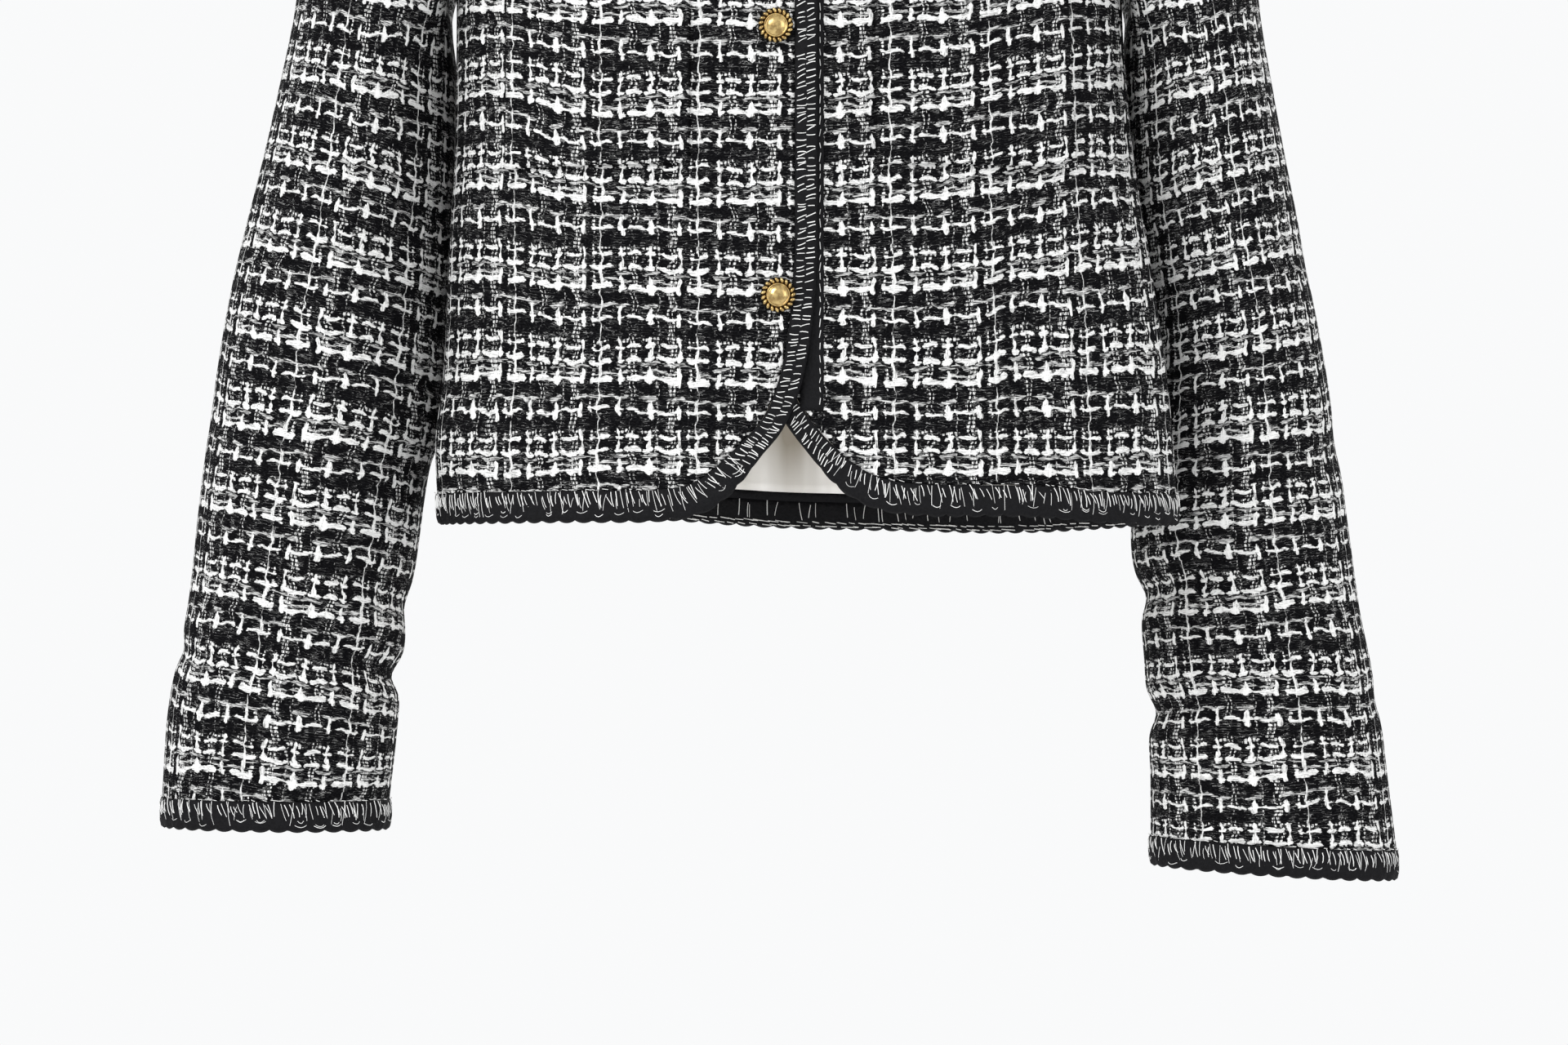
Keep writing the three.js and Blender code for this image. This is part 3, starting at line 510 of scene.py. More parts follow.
def tweedMaterial(name):
    tree = Tree(name)
    uv = tree.add("ShaderNodeUVMap", {"uv_map": "yarn"})
    split = tree.add("ShaderNodeSeparateXYZ", sockets={"Vector": uv})
    across, up = split, Wire(tree, split.socket.node.outputs[1])

    def field(acrossScale, upScale, layer, detail, scale=1):
        place = vectorOf(tree, across * acrossScale, up * upScale, layer)
        return noiseOf(tree, place, scale, detail)

    slow = field(0.055, 0.055, 0, 1)
    quick = field(0.21, 0.21, 7, 2)
    other = field(0.19, 0.19, 19, 2)
    fine = field(0.9, 0.9, 3, 1)
    broad = field(0.017, 0.022, 23, 1)
    along = across + (slow - 0.5) * 3.6 + (quick - 0.5) * 2.4 + (fine - 0.5) * 0.5
    down = (broad - 0.5) * 9 + (slow - 0.5) * 3.4 + (other - 0.5) * 2.6 + (fine - 0.5) * 0.5 - up
    colPhase = (along / repeat["across"]).math("FRACT")
    rowPhase = (down / repeat["down"]).math("FRACT")
    # strands run along each yarn
    weftStrand = field(0.22, 2.3, 5, 1)
    warpStrand = field(2.3, 0.22, 9, 1)
    weftPly = plyOf(field(0.17, 1.25, 61, 1))
    warpPly = plyOf(field(1.25, 0.17, 67, 1))
    rough = (fine - 0.5) * 0.7 + 1
    weftSwing = (across * (tau * 4 / repeat["across"]) + quick * 5).math("SINE")
    warpSwing = (up * (tau * 4 / repeat["down"]) + other * 5).math("SINE")
    weftDots = (across * (tau / 1.9) + quick * 3).math("SINE").step(-0.75, 0.1)
    warpDots = (up * (tau / 1.9) + other * 3).math("SINE").step(-0.75, 0.1)

    def yarns(table, phase, length, turnPhase, strand, ply, swing, dots):
        total = None
        for row in table:
            thick = turnPhase.ramp(row["runs"]) * rough * row["half"]
            if row["half"] < 0.9:
                thick = thick * (dots * 0.85 + 0.15)
            apart = (phase - row["at"] / length + 0.5).math("WRAP", 1, 0) - 0.5
            distance = (apart * length + swing * row["wave"]).math("ABSOLUTE")
            shine = (thick - distance + (strand - 0.5) * 1.5).step(0.02, 0.36) * row["bright"]
            shine = shine * (strand.step(0.34, 0.5) * 0.35 + 0.65) * ply * thick.step(0.03, 0.3)
            if row["loose"]:
                shine = shine * strand.step(0.4, 0.54)
            total = shine if total is None else total.math("MAXIMUM", shine)
        return total

    weft = yarns(weftRows, rowPhase, repeat["down"], colPhase, weftStrand, weftPly, weftSwing, weftDots)
    warp = yarns(warpColumns, colPhase, repeat["across"], rowPhase, warpStrand, warpPly, warpSwing, warpDots)
    # loose filaments stray between the yarns
    hairField = field(0.14, 0.75, 31, 2)
    hair = 1 - (hairField - 0.5).math("ABSOLUTE").step(0.002, 0.014)
    nearYarn = (other - 0.4).step(0.0, 0.16)
    light = weft.math("MAXIMUM", warp).math("MAXIMUM", hair * nearYarn * 0.4)
    filament = field(1.1, 1.7, 41, 2, scale=2.2)
    light = light * (filament * 0.72 + 0.7)
    ground = field(0.8, 1.6, 51, 2)
    black = colourOf(tree, ground.step(0.35, 0.75), (0.0015, 0.0015, 0.002, 1), (0.009, 0.009, 0.01, 1))
    colour = colourOf(tree, light.math("MINIMUM", 1), black, (0.92, 0.92, 0.91, 1))
    bump = tree.bump(light * 0.8 + ground * 0.3, 0.7, 0.0012)
    return tree.finish({"Base Color": colour, "Roughness": 0.9, "Normal": bump, "Specular IOR Level": 0.04})


def plainMaterial(name, colour, roughness, specular=0.5, grain=None):
    tree = Tree(name)
    sockets = {"Base Color": (*colour, 1), "Roughness": roughness, "Specular IOR Level": specular}
    if grain:
        place = tree.add("ShaderNodeTexCoord", out=3)
        field = noiseOf(tree, place, grain["scale"], 2)
        sockets["Normal"] = tree.bump(field, grain["strength"], grain["deep"])
        # the colour is painted lighter where the grain field rises, by the factor shade: a painted highlight
        # on the ridges
        raised = (*(c * grain["shade"] for c in colour), 1)
        sockets["Base Color"] = colourOf(tree, field, (*colour, 1), raised)
    return tree.finish(sockets)


# satin with painted shade: pale at the hem, painted darker up inside the jacket and down its folds, where
# shade falls
def satinMaterial(name):
    tree = Tree(name)
    place = tree.add("ShaderNodeTexCoord", out=3)
    split = tree.add("ShaderNodeSeparateXYZ", sockets={"Vector": place})
    x, z = split, Wire(tree, split.socket.node.outputs[2])
    # painted shade: darker going up inside from the hem, most at the middle of the back, and gone again
    # higher up
    deep = (z - (x - 0.004).math("ABSOLUTE") * 0.6).step(-0.46, -0.416) * (1 - z.step(-0.415, -0.38))
    # soft folds: they give the bump and also painted shade along them
    folds = noiseOf(tree, vectorOf(tree, x * 62, z * 7, 3), 1, 2).step(0.36, 0.7)
    shade = deep * 0.9 + folds * 0.36
    # the pale satin, and the colour of the painted shade
    colour = colourOf(tree, shade.math("MINIMUM", 1), (1, 0.98, 0.94, 1), (0.36, 0.32, 0.26, 1))
    bump = tree.bump(folds, 0.35, 0.003)
    return tree.finish({"Base Color": colour, "Roughness": 0.36, "Normal": bump})


# antique gold: bright on what stands up, dark in the ring behind the beads
def giltMaterial(name):
    tree = Tree(name)
    place = tree.add("ShaderNodeTexCoord", out=3)
    worn = noiseOf(tree, place, 420, 2)
    darkRing = tree.add("ShaderNodeAttribute", {"attribute_name": "darkRing"}, out=2)
    gold = colourOf(tree, worn.step(0.3, 0.7), (0.3, 0.2, 0.08, 1), (0.62, 0.46, 0.2, 1))
    colour = colourOf(tree, darkRing, gold, (0.02, 0.014, 0.006, 1))
    bump = tree.bump(worn, 0.1, 0.0003)
    return tree.finish({"Base Color": colour, "Roughness": 0.26, "Metallic": 1, "Normal": bump})


tweed = tweedMaterial("tweed")
satin = satinMaterial("satin")
# black braid; its grain's shade factor lightens the raised grain as a painted highlight
braid = plainMaterial("braid", (0.0035, 0.0035, 0.004), 0.7, specular=0.1,
                      grain={"scale": 700, "strength": 0.8, "deep": 0.0008, "shade": 3})
thread = plainMaterial("thread", (0.86, 0.86, 0.85), 0.6, specular=0.2)
gilt = giltMaterial("gilt")
print("materials made")

rowStep = {"foot": 1.2, "above": 3, "until": 24}
levels = [cut["row"]]
while levels[-1] < cut["shoulder"]:
    nearFoot = levels[-1] < cut["row"] + rowStep["until"]
    levels.append(min(levels[-1] + rowStep["foot" if nearFoot else "above"], cut["shoulder"]))


def levelAt(share):
    return levels[round(share * (len(levels) - 1))]


# soft vertical falls in the body cloth: x at the hem, width, depth and the height where it fades
falls = {
    "front": [(-128, 22, 2.2, -300), (-62, 18, 1.2, -360), (70, 20, 1.4, -350), (122, 20, 2.6, -280),
              (158, 18, 3.0, -240)],
    "back": [(-110, 24, 3.0, -200), (-52, 18, 2.0, -300), (6, 22, 2.6, -260), (60, 20, 2.2, -220),
             (118, 26, 3.2, -180)],
}
fallEnds = {"fade": 90, "from": -475, "to": -440}  # over which the falls fade, at the top and at the hem


# the point let in by the falls, and by inset
def draped(face, point, inset=0):
    depth = 0
    for x, wide, deep, top in falls[face]:
        share = 1 - smooth(top - fallEnds["fade"], top, point.z)
        share *= smooth(fallEnds["from"], fallEnds["to"], point.z)
        depth += deep * share * exp(-((point.x - x) / wide) ** 2)
    return point - outwards(point) * (inset + depth)


clothPieces = {}


def clothPiece(node, columns, rows, place, yarn, inside=satin, **form):
    clothPieces[node] = clothGrid("tweed_" + node, columns, rows, place, yarn, wall, (tweed, inside), **form)


for side in signOf:
    def place(across, share, side=side):
        return draped("front", frontPoint(side, across, levelAt(share)))

    def yarn(across, share, side=side):
        level = levelAt(share)
        return bodyYarn("front", side, frontTurn(side, across, level), frontPoint(side, across, level))

    clothPiece("front_" + side, 84, len(levels) - 1, place, yarn)


def backPlace(across, share):
    return draped("back", backPoint(across * 2 - 1, levelAt(share)))


def backYarn(across, share):
    across = across * 2 - 1
    turn = abs(backTurn(across, levelAt(share)))
    return bodyYarn("back", sideAt(across), turn, backPoint(across, levelAt(share)))


clothPiece("back", 168, len(levels) - 1, backPlace, backYarn)
print("body panels made")


def sleevePoint(side, turn, up):
    shape = sleeveShape[side]
    half = (shape["far"](up) - shape["near"](up)) / 2
    middle = (shape["far"](up) + shape["near"](up)) / 2
    offset = -half * cos(turn)
    y = shape["mid"](up) - shape["depth"](up) / 2 * sin(turn)
    return Vector((signOf[side] * (middle + offset), y, cut["hem"] + up + shape["tilt"](up) * offset))


def sleeveMiddle(side, up):
    shape = sleeveShape[side]
    x = signOf[side] * (shape["near"](up) + shape["far"](up)) / 2
    return Vector((x, shape["mid"](up), cut["hem"] + up))


def creaseDepth(side, turn, up):
    depth = 0
    for height, centre, spread, wide, deep, slant in creases[side]:
        apart = turn - radians(centre)
        around = atan2(sin(apart), cos(apart))
        middle = height + slant * sin(around)
        depth += deep * exp(-((up - middle) / wide) ** 2 - (around / radians(spread)) ** 2)
    return depth


# the running length along a line of points
def runOf(points):
    run = [0.0]
    for a, b in zip(points, points[1:]):
        run.append(run[-1] + (b - a).length)
    return run


# for each goal along a running length, the stretch that holds it and the share of it passed
def stretches(run, goals):
    j = 0
    for goal in goals:
        while j < len(run) - 2 and run[j + 1] < goal:
            j += 1
        yield j, clamp((goal - run[j]) / max(run[j + 1] - run[j], 1e-6))


# the armhole's rim from the armpit up the front and down the back, even in length, with the way out
def armhole(side, count, steps=90):
    pointAt = partial(frontPoint, side)
    rows = [mix(cut["armpit"], cut["shoulder"], i / steps) for i in range(steps + 1)]
    line = [(pointAt(1, level), facing(pointAt, 1, level)) for level in rows]
    line += [(backPoint(signOf[side], level), facing(backPoint, signOf[side], level))
             for level in rows[-2:0:-1]]
    line.append(line[0])
    run = runOf([point for point, _ in line])
    rim = []
    for j, t in stretches(run, [run[-1] * i / count for i in range(count)]):
        rim.append((line[j][0].lerp(line[j + 1][0], t), line[j][1].lerp(line[j + 1][1], t).normalized()))
    out = []
    for i, (point, normal) in enumerate(rim):
        tangent = (rim[(i + 1) % count][0] - rim[i - 1][0]).normalized()
        outward = tangent.cross(normal).normalized()
        if outward.dot(Vector((signOf[side], 0, 0.4))) < 0:
            outward = -outward
        out.append((point, outward))
    return out


sleeveGrid = {"columns": 132, "cap": 26, "step": 2.6, "creasesFade": 25}
# the cap's curves: folded values hold at the armpit, open ones from foldHeight above it
cap = {
    "gap": 0.6, "foldHeight": 50, "outFolded": 0.75, "outOpen": 0.2, "hangOpen": 0.8, "hangFolded": 0.35,
    "onwardFolded": 0.25, "drop": -0.42, "leave": 0.33, "leaveLeast": 4, "arrive": 0.36, "arriveFrom": 43,
}
# where the yarn starts round a sleeve, and how far its rows sag beside the body; on the right the sag
# fades out upwards
sleeveYarn = {"start": 0.27, "girth": 330, "left": 2.1, "right": 3.5, "fadeFrom": -90, "fadeTo": -30}


def sleevePiece(side):
    columns, capCount = sleeveGrid["columns"], sleeveGrid["cap"]
    rim = armhole(side, columns)
    rim.append(rim[0])
    first, last = sleeveEnds[side]
    plainCount = round((first - last) / sleeveGrid["step"])
    rows = capCount + plainCount

    def capPoint(i, turn, t):
        rimPoint, outward = rim[i]
        start = rimPoint + outward * cap["gap"]
        end = sleevePoint(side, turn, first)
        span = (end - start).length
        folded = 1 - smooth(cut["armpit"], cut["armpit"] + cap["foldHeight"], start.z)
        leave = outward * mix(cap["outOpen"], cap["outFolded"], folded)
        leave += Vector((signOf[side], 0, cap["drop"])) * mix(cap["hangOpen"], cap["hangFolded"], folded)
        leave += (end - start).normalized() * mix(0, cap["onwardFolded"], folded)
        arrive = (end - sleevePoint(side, turn, first - cap["arriveFrom"])).normalized()
        a = start + leave.normalized() * max(cap["leave"] * span, cap["leaveLeast"])
        b = end + arrive * cap["arrive"] * span
        s = 1 - t
        return start * s ** 3 + a * (3 * s * s * t) + b * (3 * s * t * t) + end * t ** 3

    def place(across, share):
        i = round(across * columns)
        row = round(share * rows)
        turn = tau * i / columns
        if row > plainCount:
            return capPoint(i, turn, 1 - (row - plainCount) / capCount)
        up = mix(last, first, row / plainCount)
        point = sleevePoint(side, turn, up)
        depth = creaseDepth(side, turn, up) * smooth(first, first - sleeveGrid["creasesFade"], up)
        return point - outwards(point, sleeveMiddle(side, up)) * depth

    def yarn(across, share):
        i = round(across * columns)
        row = round(share * rows)
        up = mix(last, first, min(row / plainCount, 1))
        sag = sleeveYarn[side]
        if side == "right":
            sag *= 1 - smooth(sleeveYarn["fadeFrom"], sleeveYarn["fadeTo"], up)
        if row > plainCount:
            capLength = (rim[i][0] - sleevePoint(side, tau * i / columns, first)).length
            up += (row - plainCount) / capCount * capLength
        along = (across - sleeveYarn["start"]) * sleeveYarn["girth"]
        return along, up + sag * cos(tau * across)

    clothPiece("sleeve_" + side, columns, rows, place, yarn,
               middle=lambda level: sleeveMiddle(side, level - cut["hem"]), wrapped=True)


for side in signOf:
    sleevePiece(side)
print("sleeves made")

pocket = {"bottom": -297.5, "top": -190, "near": 0.268, "far": 0.942, "columns": 46, "rows": 36, "gap": 0.5}


def pocketSpot(across, share):
    return mix(pocket["near"], pocket["far"], across), mix(pocket["bottom"], pocket["top"], share)


for side in signOf:
    def pocketPlace(across, share, side=side):
        turn, level = pocketSpot(across, share)
        lift = facing(partial(bodyPoint, "front", side), turn, level) * (pocket["gap"] + wall)
        return draped("front", bodyPoint("front", side, turn, level)) + lift

    def pocketYarn(across, share, side=side):
        turn, level = pocketSpot(across, share)
        return bodyYarn("front", side, turn, bodyPoint("front", side, turn, level))

    clothPiece("pocket_" + side, pocket["columns"], pocket["rows"], pocketPlace, pocketYarn, inside=tweed)
print("pockets made")


# a band along a line of points with normals: its places with normal and way out of the cloth, in even
# steps, and sizeAt, which gives its width, thickness and share of hem shape at a point
def bandAlong(line, clothSide, sizeAt, isClosed, goalStep=1.3, reach=4):
    points = [point for point, _ in line]
    if isClosed:
        points.append(points[0])
    run = runOf(points)
    count = max(round(run[-1] / goalStep), 8)
    goals = [run[-1] * i / count for i in range(count + (0 if isClosed else 1))]
    path = []
    for j, t in stretches(run, goals):
        normal = line[j][1].lerp(line[(j + 1) % len(line)][1], t).normalized()
        path.append([points[j].lerp(points[j + 1], t), normal])
    size = len(path)

    def near(i):
        return i % size if isClosed else min(max(i, 0), size - 1)

    ways = []
    for i, (point, normal) in enumerate(path):
        way = (path[near(i + 1)][0] - path[near(i - 1)][0]).normalized().cross(normal).normalized()
        ways.append(way if way.dot(clothSide(point) - point) < 0 else -way)
    for i, spot in enumerate(path):
        total = sum((ways[near(i + d)] for d in range(-reach, reach + 1)), Vector())
        spot.append((total - spot[1] * total.dot(spot[1])).normalized())
    return {"path": path, "step": run[-1] / count, "sizeAt": sizeAt, "closed": isClosed, "near": near}


# the crocheted band's section: out in widths, rise in half thicknesses
bandProfile = [(0, 0.78), (0.16, 0.98), (0.36, 1.0), (0.56, 0.98), (0.76, 0.96), (0.92, 0.7), (1, 0.1),
               (0.94, -0.6), (0.76, -0.94), (0.5, -1), (0.24, -1), (0, -0.8)]
ridge = {"length": 3.3, "slant": 0.45, "front": 0.35, "back": 0.14}
knots = {"length": 9.6, "round": 0.7, "from": 0.62, "to": 0.95, "middle": 0.6, "out": 1.5, "up": 0.9}
edgeIn = 0.6


# the crocheted band: ridges slant across it, and knots swell along its free edge
def bandPiece(name, band):
    work = bmesh.new()
    rings = []
    for i, (point, normal, way) in enumerate(band["path"]):
        width, thick, knotted = band["sizeAt"](point)
        along = i * band["step"]
        knot = abs(sin(pi * along / knots["length"])) ** knots["round"]
        ring = []
        for out, rise in bandProfile:
            slant = sin(tau * (along - out * width * ridge["slant"]) / ridge["length"])
            free = smooth(knots["from"], knots["to"], out) * knotted
            raised = slant * (1 - free) * ridge["front" if rise > 0 else "back"] * (0 < out < 1)
            reach = out * width - edgeIn * smooth(0.5, 1, out)
            reach += free * (knot - knots["middle"]) * knots["out"]
            lift = rise * (thick / 2 + raised + free * (knot - 0.5) * knots["up"])
            place = point + way * (reach + seam / 2) + normal * (lift - wall / 2)
            ring.append(work.verts.new(metres(place)))
        rings.append(ring)
    pairs = list(zip(rings, rings[1:])) + ([(rings[-1], rings[0])] if band["closed"] else [])
    for first, second in pairs:
        for k in range(len(bandProfile)):
            n = (k + 1) % len(bandProfile)
            work.faces.new((first[k], second[k], second[n], first[n])).smooth = True
    if not band["closed"]:
        work.faces.new(rings[0])
        work.faces.new(list(reversed(rings[-1])))
    bmesh.ops.recalc_face_normals(work, faces=work.faces)
    return meshPiece(name, work, braid)


# fine threads over the bands, each a thin bent tube
strokes = []


def addThread(points, radius):
    strokes.append(([metres(p) for p in points], radius * 0.001))


def threadsPiece(name):
    curve = bpy.data.curves.new(name, "CURVE")
    curve.dimensions = "3D"
    curve.bevel_depth = 1
    curve.bevel_resolution = 0
    curve.use_fill_caps = True
    for points, radius in strokes:
        spline = curve.splines.new("POLY")
        spline.points.add(len(points) - 1)
        for slot, place in zip(spline.points, points):
            slot.co = (*place, 1)
            slot.radius = radius
    holder = linked(name + "_line", curve)
    bpy.context.view_layer.update()
    mesh = bpy.data.meshes.new_from_object(holder.evaluated_get(bpy.context.evaluated_depsgraph_get()))
    bpy.data.objects.remove(holder)
    mesh.materials.clear()
    mesh.materials.append(thread)
    return linked(name, mesh)


# a place on the band's surface: along it by steps, out over it and up off its middle
def onBand(band, i, out, lift):
    j = int(i // 1)
    a, b = (band["path"][band["near"](k)] for k in (j, j + 1))
    point, normal, way = (a[k].lerp(b[k], i - j) for k in range(3))
    return point + way * out + normal * (lift - wall / 2)


threadLift = 0.3
strokeShape = ((0, -0.45), (0.3, 0), (0.7, 0), (1, -0.45))
arcShape = ((-4.1, -0.7, -0.5), (-2, 0.2, 0.1), (0, 0.5, 0.2), (2, 0.2, 0.1), (4, -0.6, -0.5))


# strokes lie on a band's face from low to high over its width, run on by lean, and arcs hug its knots;
# hand turns their slant over on a path that runs the other way
def bandThreads(band, look, hand=1, face=1):
    size, step = len(band["path"]), band["step"]

    def sizeAt(i):
        return band["sizeAt"](band["path"][min(int(i), size - 1)][0])

    def stroke(i, low, high, lean, radius):
        width, thick, _ = sizeAt(i)
        bow = random.uniform(-0.35, 0.35)
        addThread([
            onBand(band, i + (lean * s + bow * sin(pi * s)) / step, mix(low, high, s) * width,
                   face * (thick / 2 + threadLift + sink))
            for s, sink in strokeShape
        ], radius)

    for strip in look["lanes"]:
        i = 0.6
        while i < size - 1.5:
            share = sizeAt(i)[2]
            if strip["from"] <= share <= strip["to"] and random.random() > strip["skip"]:
                low = strip["low"] + random.uniform(-1, 1) * strip["loose"]
                high = strip["high"] + random.uniform(-1, 1) * strip["loose"]
                lean = hand * random.choice(strip["lean"]) * random.uniform(0.6, 1.3)
                stroke(i, low, high, lean, strip["radius"] * random.uniform(0.7, 1.15))
            i += strip["pitch"] * random.uniform(0.5, 1.5) / step
    for k in range(int(size * step / knots["length"]) if look["arcs"] else 0):
        middle = (k + 0.5 + random.uniform(-0.12, 0.12)) * knots["length"] / step
        width, thick, knotted = sizeAt(middle)
        if knotted < 0.5:
            continue
        for count in range(random.choice((0, 1, 1, 2))):
            level = width * random.uniform(0.6, 0.82)
            reach = random.uniform(0.35, 0.85)
            addThread([
                onBand(band, middle + reach * d / step, level + sag, face * (thick / 2 + threadLift + bow))
                for d, sag, bow in arcShape
            ], random.uniform(0.1, 0.17))


# lanes of strokes over a band's width; span bounds the share of hem shape they lie on
def lane(low, high, lean, pitch, radius, loose=0.06, skip=0.1, span=(0, 1)):
    return {"low": low, "high": high, "lean": lean, "pitch": pitch, "radius": radius, "loose": loose,
            "skip": skip, "from": span[0], "to": span[1]}


looks = {
    "edge": {"arcs": True, "lanes": [
        lane(0.08, 0.48, (1.6, 2.4, 3.0, 2.0, 0.2), 2.3, 0.22, loose=0.09, span=(0.45, 1)),
        lane(0.1, 0.66, (1.6, 2.4, 0.2, -1.4), 4.5, 0.12, loose=0.14, span=(0.35, 1)),
        lane(-0.04, -0.02, (2.2, 3.0, 1.6), 6.2, 0.16, loose=0.02, span=(0.8, 1)),
        lane(0.12, 0.46, (0.8, 1.4, 2.0, 0.2), 2.5, 0.24, loose=0.04, skip=0.05, span=(0, 0.5)),
        lane(0.5, 0.84, (0.8, 1.4, 2.0, 0.2), 2.5, 0.24, loose=0.04, skip=0.05, span=(0, 0.5)),
    ]},
    "inside": {"arcs": False, "lanes": [
        lane(0.12, 0.62, (0.8, -1.2, 1.6, 0.2), 7.5, 0.19, loose=0.08, skip=0.2),
        lane(0.2, 0.66, (1.2, -0.8, 0.4), 19, 0.19, loose=0.08, skip=0.2),
        lane(0.74, 0.77, (4, 5, 6), 4.6, 0.22, loose=0.02),
        lane(0.87, 0.89, (4, 5, 6), 4.8, 0.22, loose=0.02),
    ]},
}
bands = {"hem": (15.5, 4.6, 1), "front": (11.5, 4.4, 0)}
widens = {"from": 30, "to": 2}
bandPieces = {}


def hemSize(point):
    return bands["hem"]


def neckSize(point):
    return bands["front"]


def frontSize(point):
    share = 1 - smooth(cut["row"] + widens["to"], cut["row"] + widens["from"], point.z)
    return [mix(thin, broad, share) for thin, broad in zip(bands["front"], bands["hem"])]


def edging(part, line, clothSide, sizeAt, isClosed=False, hand=1):
    band = bandAlong(line, clothSide, sizeAt, isClosed)
    bandPieces["edging_" + part] = bandPiece("braid_" + part, band)
    bandThreads(band, looks["edge"], hand)
    return band


for side in signOf:
    pointAt = partial(frontPoint, side)
    places = [(0, level) for level in reversed(levels)] + [(i / 60, cut["row"]) for i in range(1, 61)]
    line = [(pointAt(*place), facing(pointAt, *place)) for place in places]
    edging("front_" + side, line, lambda p: pointAt(0.5, -250), frontSize, hand=signOf[side])


def backLine(count, reach, level):
    places = [(reach * i / count, level) for i in range(-count, count + 1)]
    return [(backPoint(*place), facing(backPoint, *place)) for place in places]


hemBand = edging("back_hem", backLine(80, 1, cut["row"]), lambda p: Vector((p.x, p.y, -250)), hemSize)
bandThreads(hemBand, looks["inside"], face=-1)
neckReach = cut["neckTurn"] / radians(body["reach"](cut["shoulder"]))
edging("back_neck", backLine(40, neckReach * 0.99, cut["shoulder"]), lambda p: p * 2, neckSize)

for side in signOf:
    last = sleeveEnds[side][1]
    line = []
    for i in range(sleeveGrid["columns"]):
        turn = tau * i / sleeveGrid["columns"]
        point = sleevePoint(side, turn, last)
        out = outwards(point, sleeveMiddle(side, last))
        line.append((point - out * creaseDepth(side, turn, last), out))
    edging("cuff_" + side, line, lambda p: Vector((p.x, p.y, -200)), hemSize, True, signOf[side])

# the under front's edge tape, stitched down beside the closing, and the tape inside the back's hem
tape = {
    "from": 13, "to": 21.4, "footWider": 3, "stitch": 19.6, "thick": 0.5, "bottom": -417, "top": -92,
    "columns": 4, "rows": 110,
}
hemTapeSize = {"from": -1, "to": 3.6, "clear": 0.4, "thick": 0.9, "columns": 300, "rows": 2}


def tapePoint(x, level, lift):
    point = bodyPoint("front", "left", asin(x / body["left"](level)), level)
    point.y += lapBehind(point.x) - lift
    return point


def tapePlace(across, share):
    level = mix(tape["bottom"], tape["top"], share)
    near = tape["from"] - tape["footWider"] * (1 - smooth(-400, -390, level))
    return tapePoint(mix(near, tape["to"] + 0.25 * sin(level), across), level, tape["thick"] + 0.1)


tapePiece = clothGrid("tape_front", tape["columns"], tape["rows"], tapePlace,
                      lambda a, s: (a * 8, s * 300), tape["thick"], (braid, braid))
level = tape["bottom"] + 3
while level < tape["top"] - 6:
    long = random.uniform(2.2, 4.2)
    lean = random.uniform(-0.5, 0.7)
    addThread([tapePoint(tape["stitch"] + lean * (s - 0.5), level + long * s, tape["thick"] + lift)
                 for s, lift in ((0, 0), (0.3, 0.3), (0.7, 0.3), (1, 0))], random.uniform(0.15, 0.22))
    level += long + random.uniform(0.8, 3.4)


def hemTapePlace(across, share):
    across = across * 2 - 1
    top = hemTapeSize["to"] + 0.3 * sin(across * 420)
    point = backPoint(across, cut["row"] + mix(hemTapeSize["from"], top, share))
    return draped("back", point, wall + hemTapeSize["clear"])


hemTape = clothGrid("tape_back", hemTapeSize["columns"], hemTapeSize["rows"], hemTapePlace,
                    lambda a, s: (a * 400, s * 5), hemTapeSize["thick"], (braid, braid))
threadPiece = threadsPiece("edging_threads")
print("edging made", len(strokes), "threads")

# satin lining of the back, with soft upright folds: place across, width and depth
lining = {
    "clear": 4.6, "wall": 1, "columns": 150, "rows": 90, "turn": 1.38, "short": 0.1, "bottom": 3.4,
    "top": -60, "waver": 0.02, "waverLength": 40,
}
folds = [(-0.52, 0.05, 3.0), (-0.36, 0.035, 2.0), (-0.2, 0.05, 2.6), (-0.07, 0.03, 1.8), (0.03, 0.028, 2.6),
         (0.1, 0.02, 1.6), (0.16, 0.018, 1.8), (0.21, 0.016, 1.5), (0.3, 0.04, 2.4), (0.46, 0.05, 2.8),
         (0.66, 0.05, 2.2), (-0.7, 0.05, 2.0)]


def liningPlace(across, share):
    across = across * 2 - 1
    level = mix(cut["row"] + lining["bottom"], lining["top"], share)
    turn = abs(across) * min(lining["turn"], radians(body["reach"](level)) - lining["short"])
    point = bodyPoint("back", sideAt(across), turn, level)
    along = across + lining["waver"] * sin(level / lining["waverLength"])
    fold = sum(deep * exp(-((along - at) / wide) ** 2) for at, wide, deep in folds)
    return point - outwards(point) * (lining["clear"] + fold)


liningPiece = clothGrid("satin_back", lining["columns"], lining["rows"], liningPlace,
                        lambda a, s: (a * 400, s * 400), lining["wall"], (satin, satin))
print("lining made")

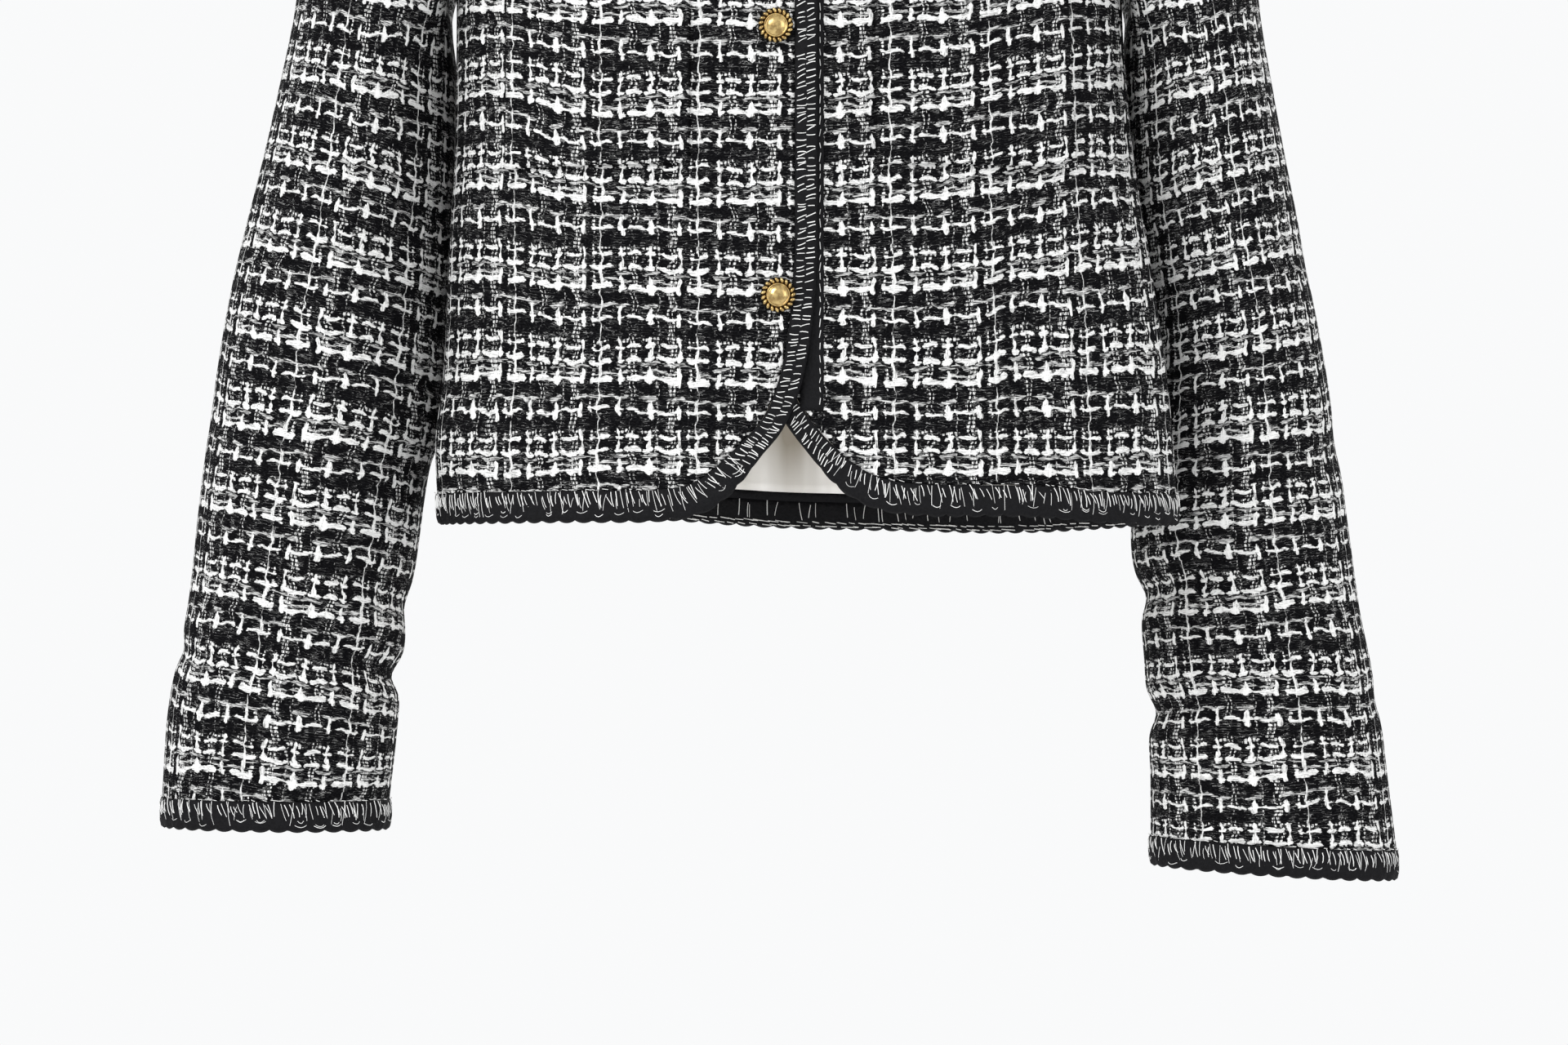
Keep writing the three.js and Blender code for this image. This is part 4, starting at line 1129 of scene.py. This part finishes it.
# gilt shank buttons: a dome in a thin rim, ringed by beads
button = {
    "levels": (-361, -233.5, -105.5), "back": 1.9, "segments": 40, "darkRingFrom": 5.9, "darkRingUnder": 0.85,
    "turned": {1: (-0.5, 0), 2: (-1.6, 1.7)},
}
buttonProfile = [
    (0.01, -1.6), (2.4, -1.6), (2.4, 0), (8.1, 0.1), (8.3, 0.4), (6.6, 0.7), (6.1, 0.8), (5.75, 1.7),
    (5.55, 2.3), (5.2, 2.4), (4.95, 2.1), (4.8, 1.8), (4.4, 2.2), (3.4, 2.8), (2, 3.2), (0.01, 3.3),
]
beads = {"ring": 7.15, "lift": 1.25, "size": 1.12, "long": 1.35, "flat": 0.8, "twist": 0.6, "count": 19}
buttonPieces = {}
for number, level in enumerate(button["levels"], 1):
    work = bmesh.new()
    ring = [work.verts.new(metres(Vector((out, -up, 0)))) for out, up in buttonProfile]
    edges = [work.edges.new(pair) for pair in zip(ring, ring[1:])]
    bmesh.ops.spin(work, geom=ring + edges, cent=(0, 0, 0), axis=(0, 1, 0), angle=tau,
                   steps=button["segments"], use_merge=True)
    for k in range(beads["count"]):
        turn = tau * k / beads["count"]
        made = bmesh.ops.create_icosphere(work, subdivisions=2, radius=beads["size"] * 0.001)
        bmesh.ops.scale(work, verts=made["verts"], vec=(beads["long"], 1, beads["flat"]))
        bmesh.ops.rotate(work, verts=made["verts"], matrix=Matrix.Rotation(-turn - beads["twist"], 3, "Y"))
        x, z = beads["ring"] * cos(turn), beads["ring"] * sin(turn)
        bmesh.ops.translate(work, verts=made["verts"], vec=metres(Vector((x, -beads["lift"], z))))
    bmesh.ops.remove_doubles(work, verts=work.verts, dist=0.00001)
    bmesh.ops.recalc_face_normals(work, faces=work.faces)
    for face in work.faces:
        face.smooth = True
    # the ring behind the beads, low on the button's face, is coloured dark
    darkRing = work.verts.layers.float.new("darkRing")
    for vert in work.verts:
        out = hypot(vert.co.x, vert.co.z) * 1000
        vert[darkRing] = float(button["darkRingFrom"] < out and -vert.co.y * 1000 < button["darkRingUnder"])
    seat = bodyPoint("front", "right", 0, level)
    aside, higher = button["turned"].get(number, (0, 0))
    bmesh.ops.translate(work, verts=work.verts,
                        vec=metres(Vector((aside, seat.y - button["back"], seat.z + higher))))
    buttonPieces[f"button_{number}"] = meshPiece(f"gilt_button_{number}", work, gilt)
print("buttons made")

# light: a pale studio, a large soft light to the left of the camera, a weaker one to the right
world = bpy.data.worlds.new("studio")
scene.world = world
world.use_nodes = True
world.node_tree.nodes["Background"].inputs["Color"].default_value = (0.95, 0.955, 0.96, 1)
world.node_tree.nodes["Background"].inputs["Strength"].default_value = 1.0
lights = [
    {"name": "key", "place": (-1.5, -2.2, 0.9), "size": 1.4, "power": 46},
    {"name": "fill", "place": (1.9, -1.8, 0.2), "size": 1.6, "power": 14},
    {"name": "rim", "place": (0.6, 2.2, 1.2), "size": 1.5, "power": 20},
]
for lamp in lights:
    data = bpy.data.lights.new(lamp["name"], "AREA")
    data.size = lamp["size"]
    data.energy = lamp["power"]
    made = linked(lamp["name"], data)
    made.location = lamp["place"]
    made.rotation_euler = (Vector((0, 0, -0.35)) - Vector(lamp["place"])).to_track_quat("-Z", "Y").to_euler()

work = bmesh.new()
bmesh.ops.create_grid(work, x_segments=1, y_segments=1, size=2.2)
bmesh.ops.translate(work, verts=work.verts, vec=(0, 0, -1.3))
meshPiece("floor", work, plainMaterial("paper", (0.82, 0.82, 0.82), 0.9))


# a piece that stands for a node of the frame
def stand(piece, node):
    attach(piece, "root")
    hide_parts(node)


# the cut of each piece's cloth, in metres
sheets = [
    ("front_right", (0.25, 0.49), 0.094), ("front_left", (0.262, 0.49), 0.099), ("back", (0.5, 0.49), 0.2),
    ("sleeve_right", (0.38, 0.6), 0.19), ("sleeve_left", (0.38, 0.62), 0.19),
    ("pocket_right", (0.118, 0.108), None), ("pocket_left", (0.118, 0.108), None),
]
for node, flat, area in sheets:
    piece = clothPieces[node]
    stand(piece, node)
for node, piece in bandPieces.items():
    stand(piece, node)
for piece in (threadPiece, tapePiece, hemTape):
    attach(piece, "root")
stand(liningPiece, "lining_back")
for node, piece in buttonPieces.items():
    stand(piece, node)
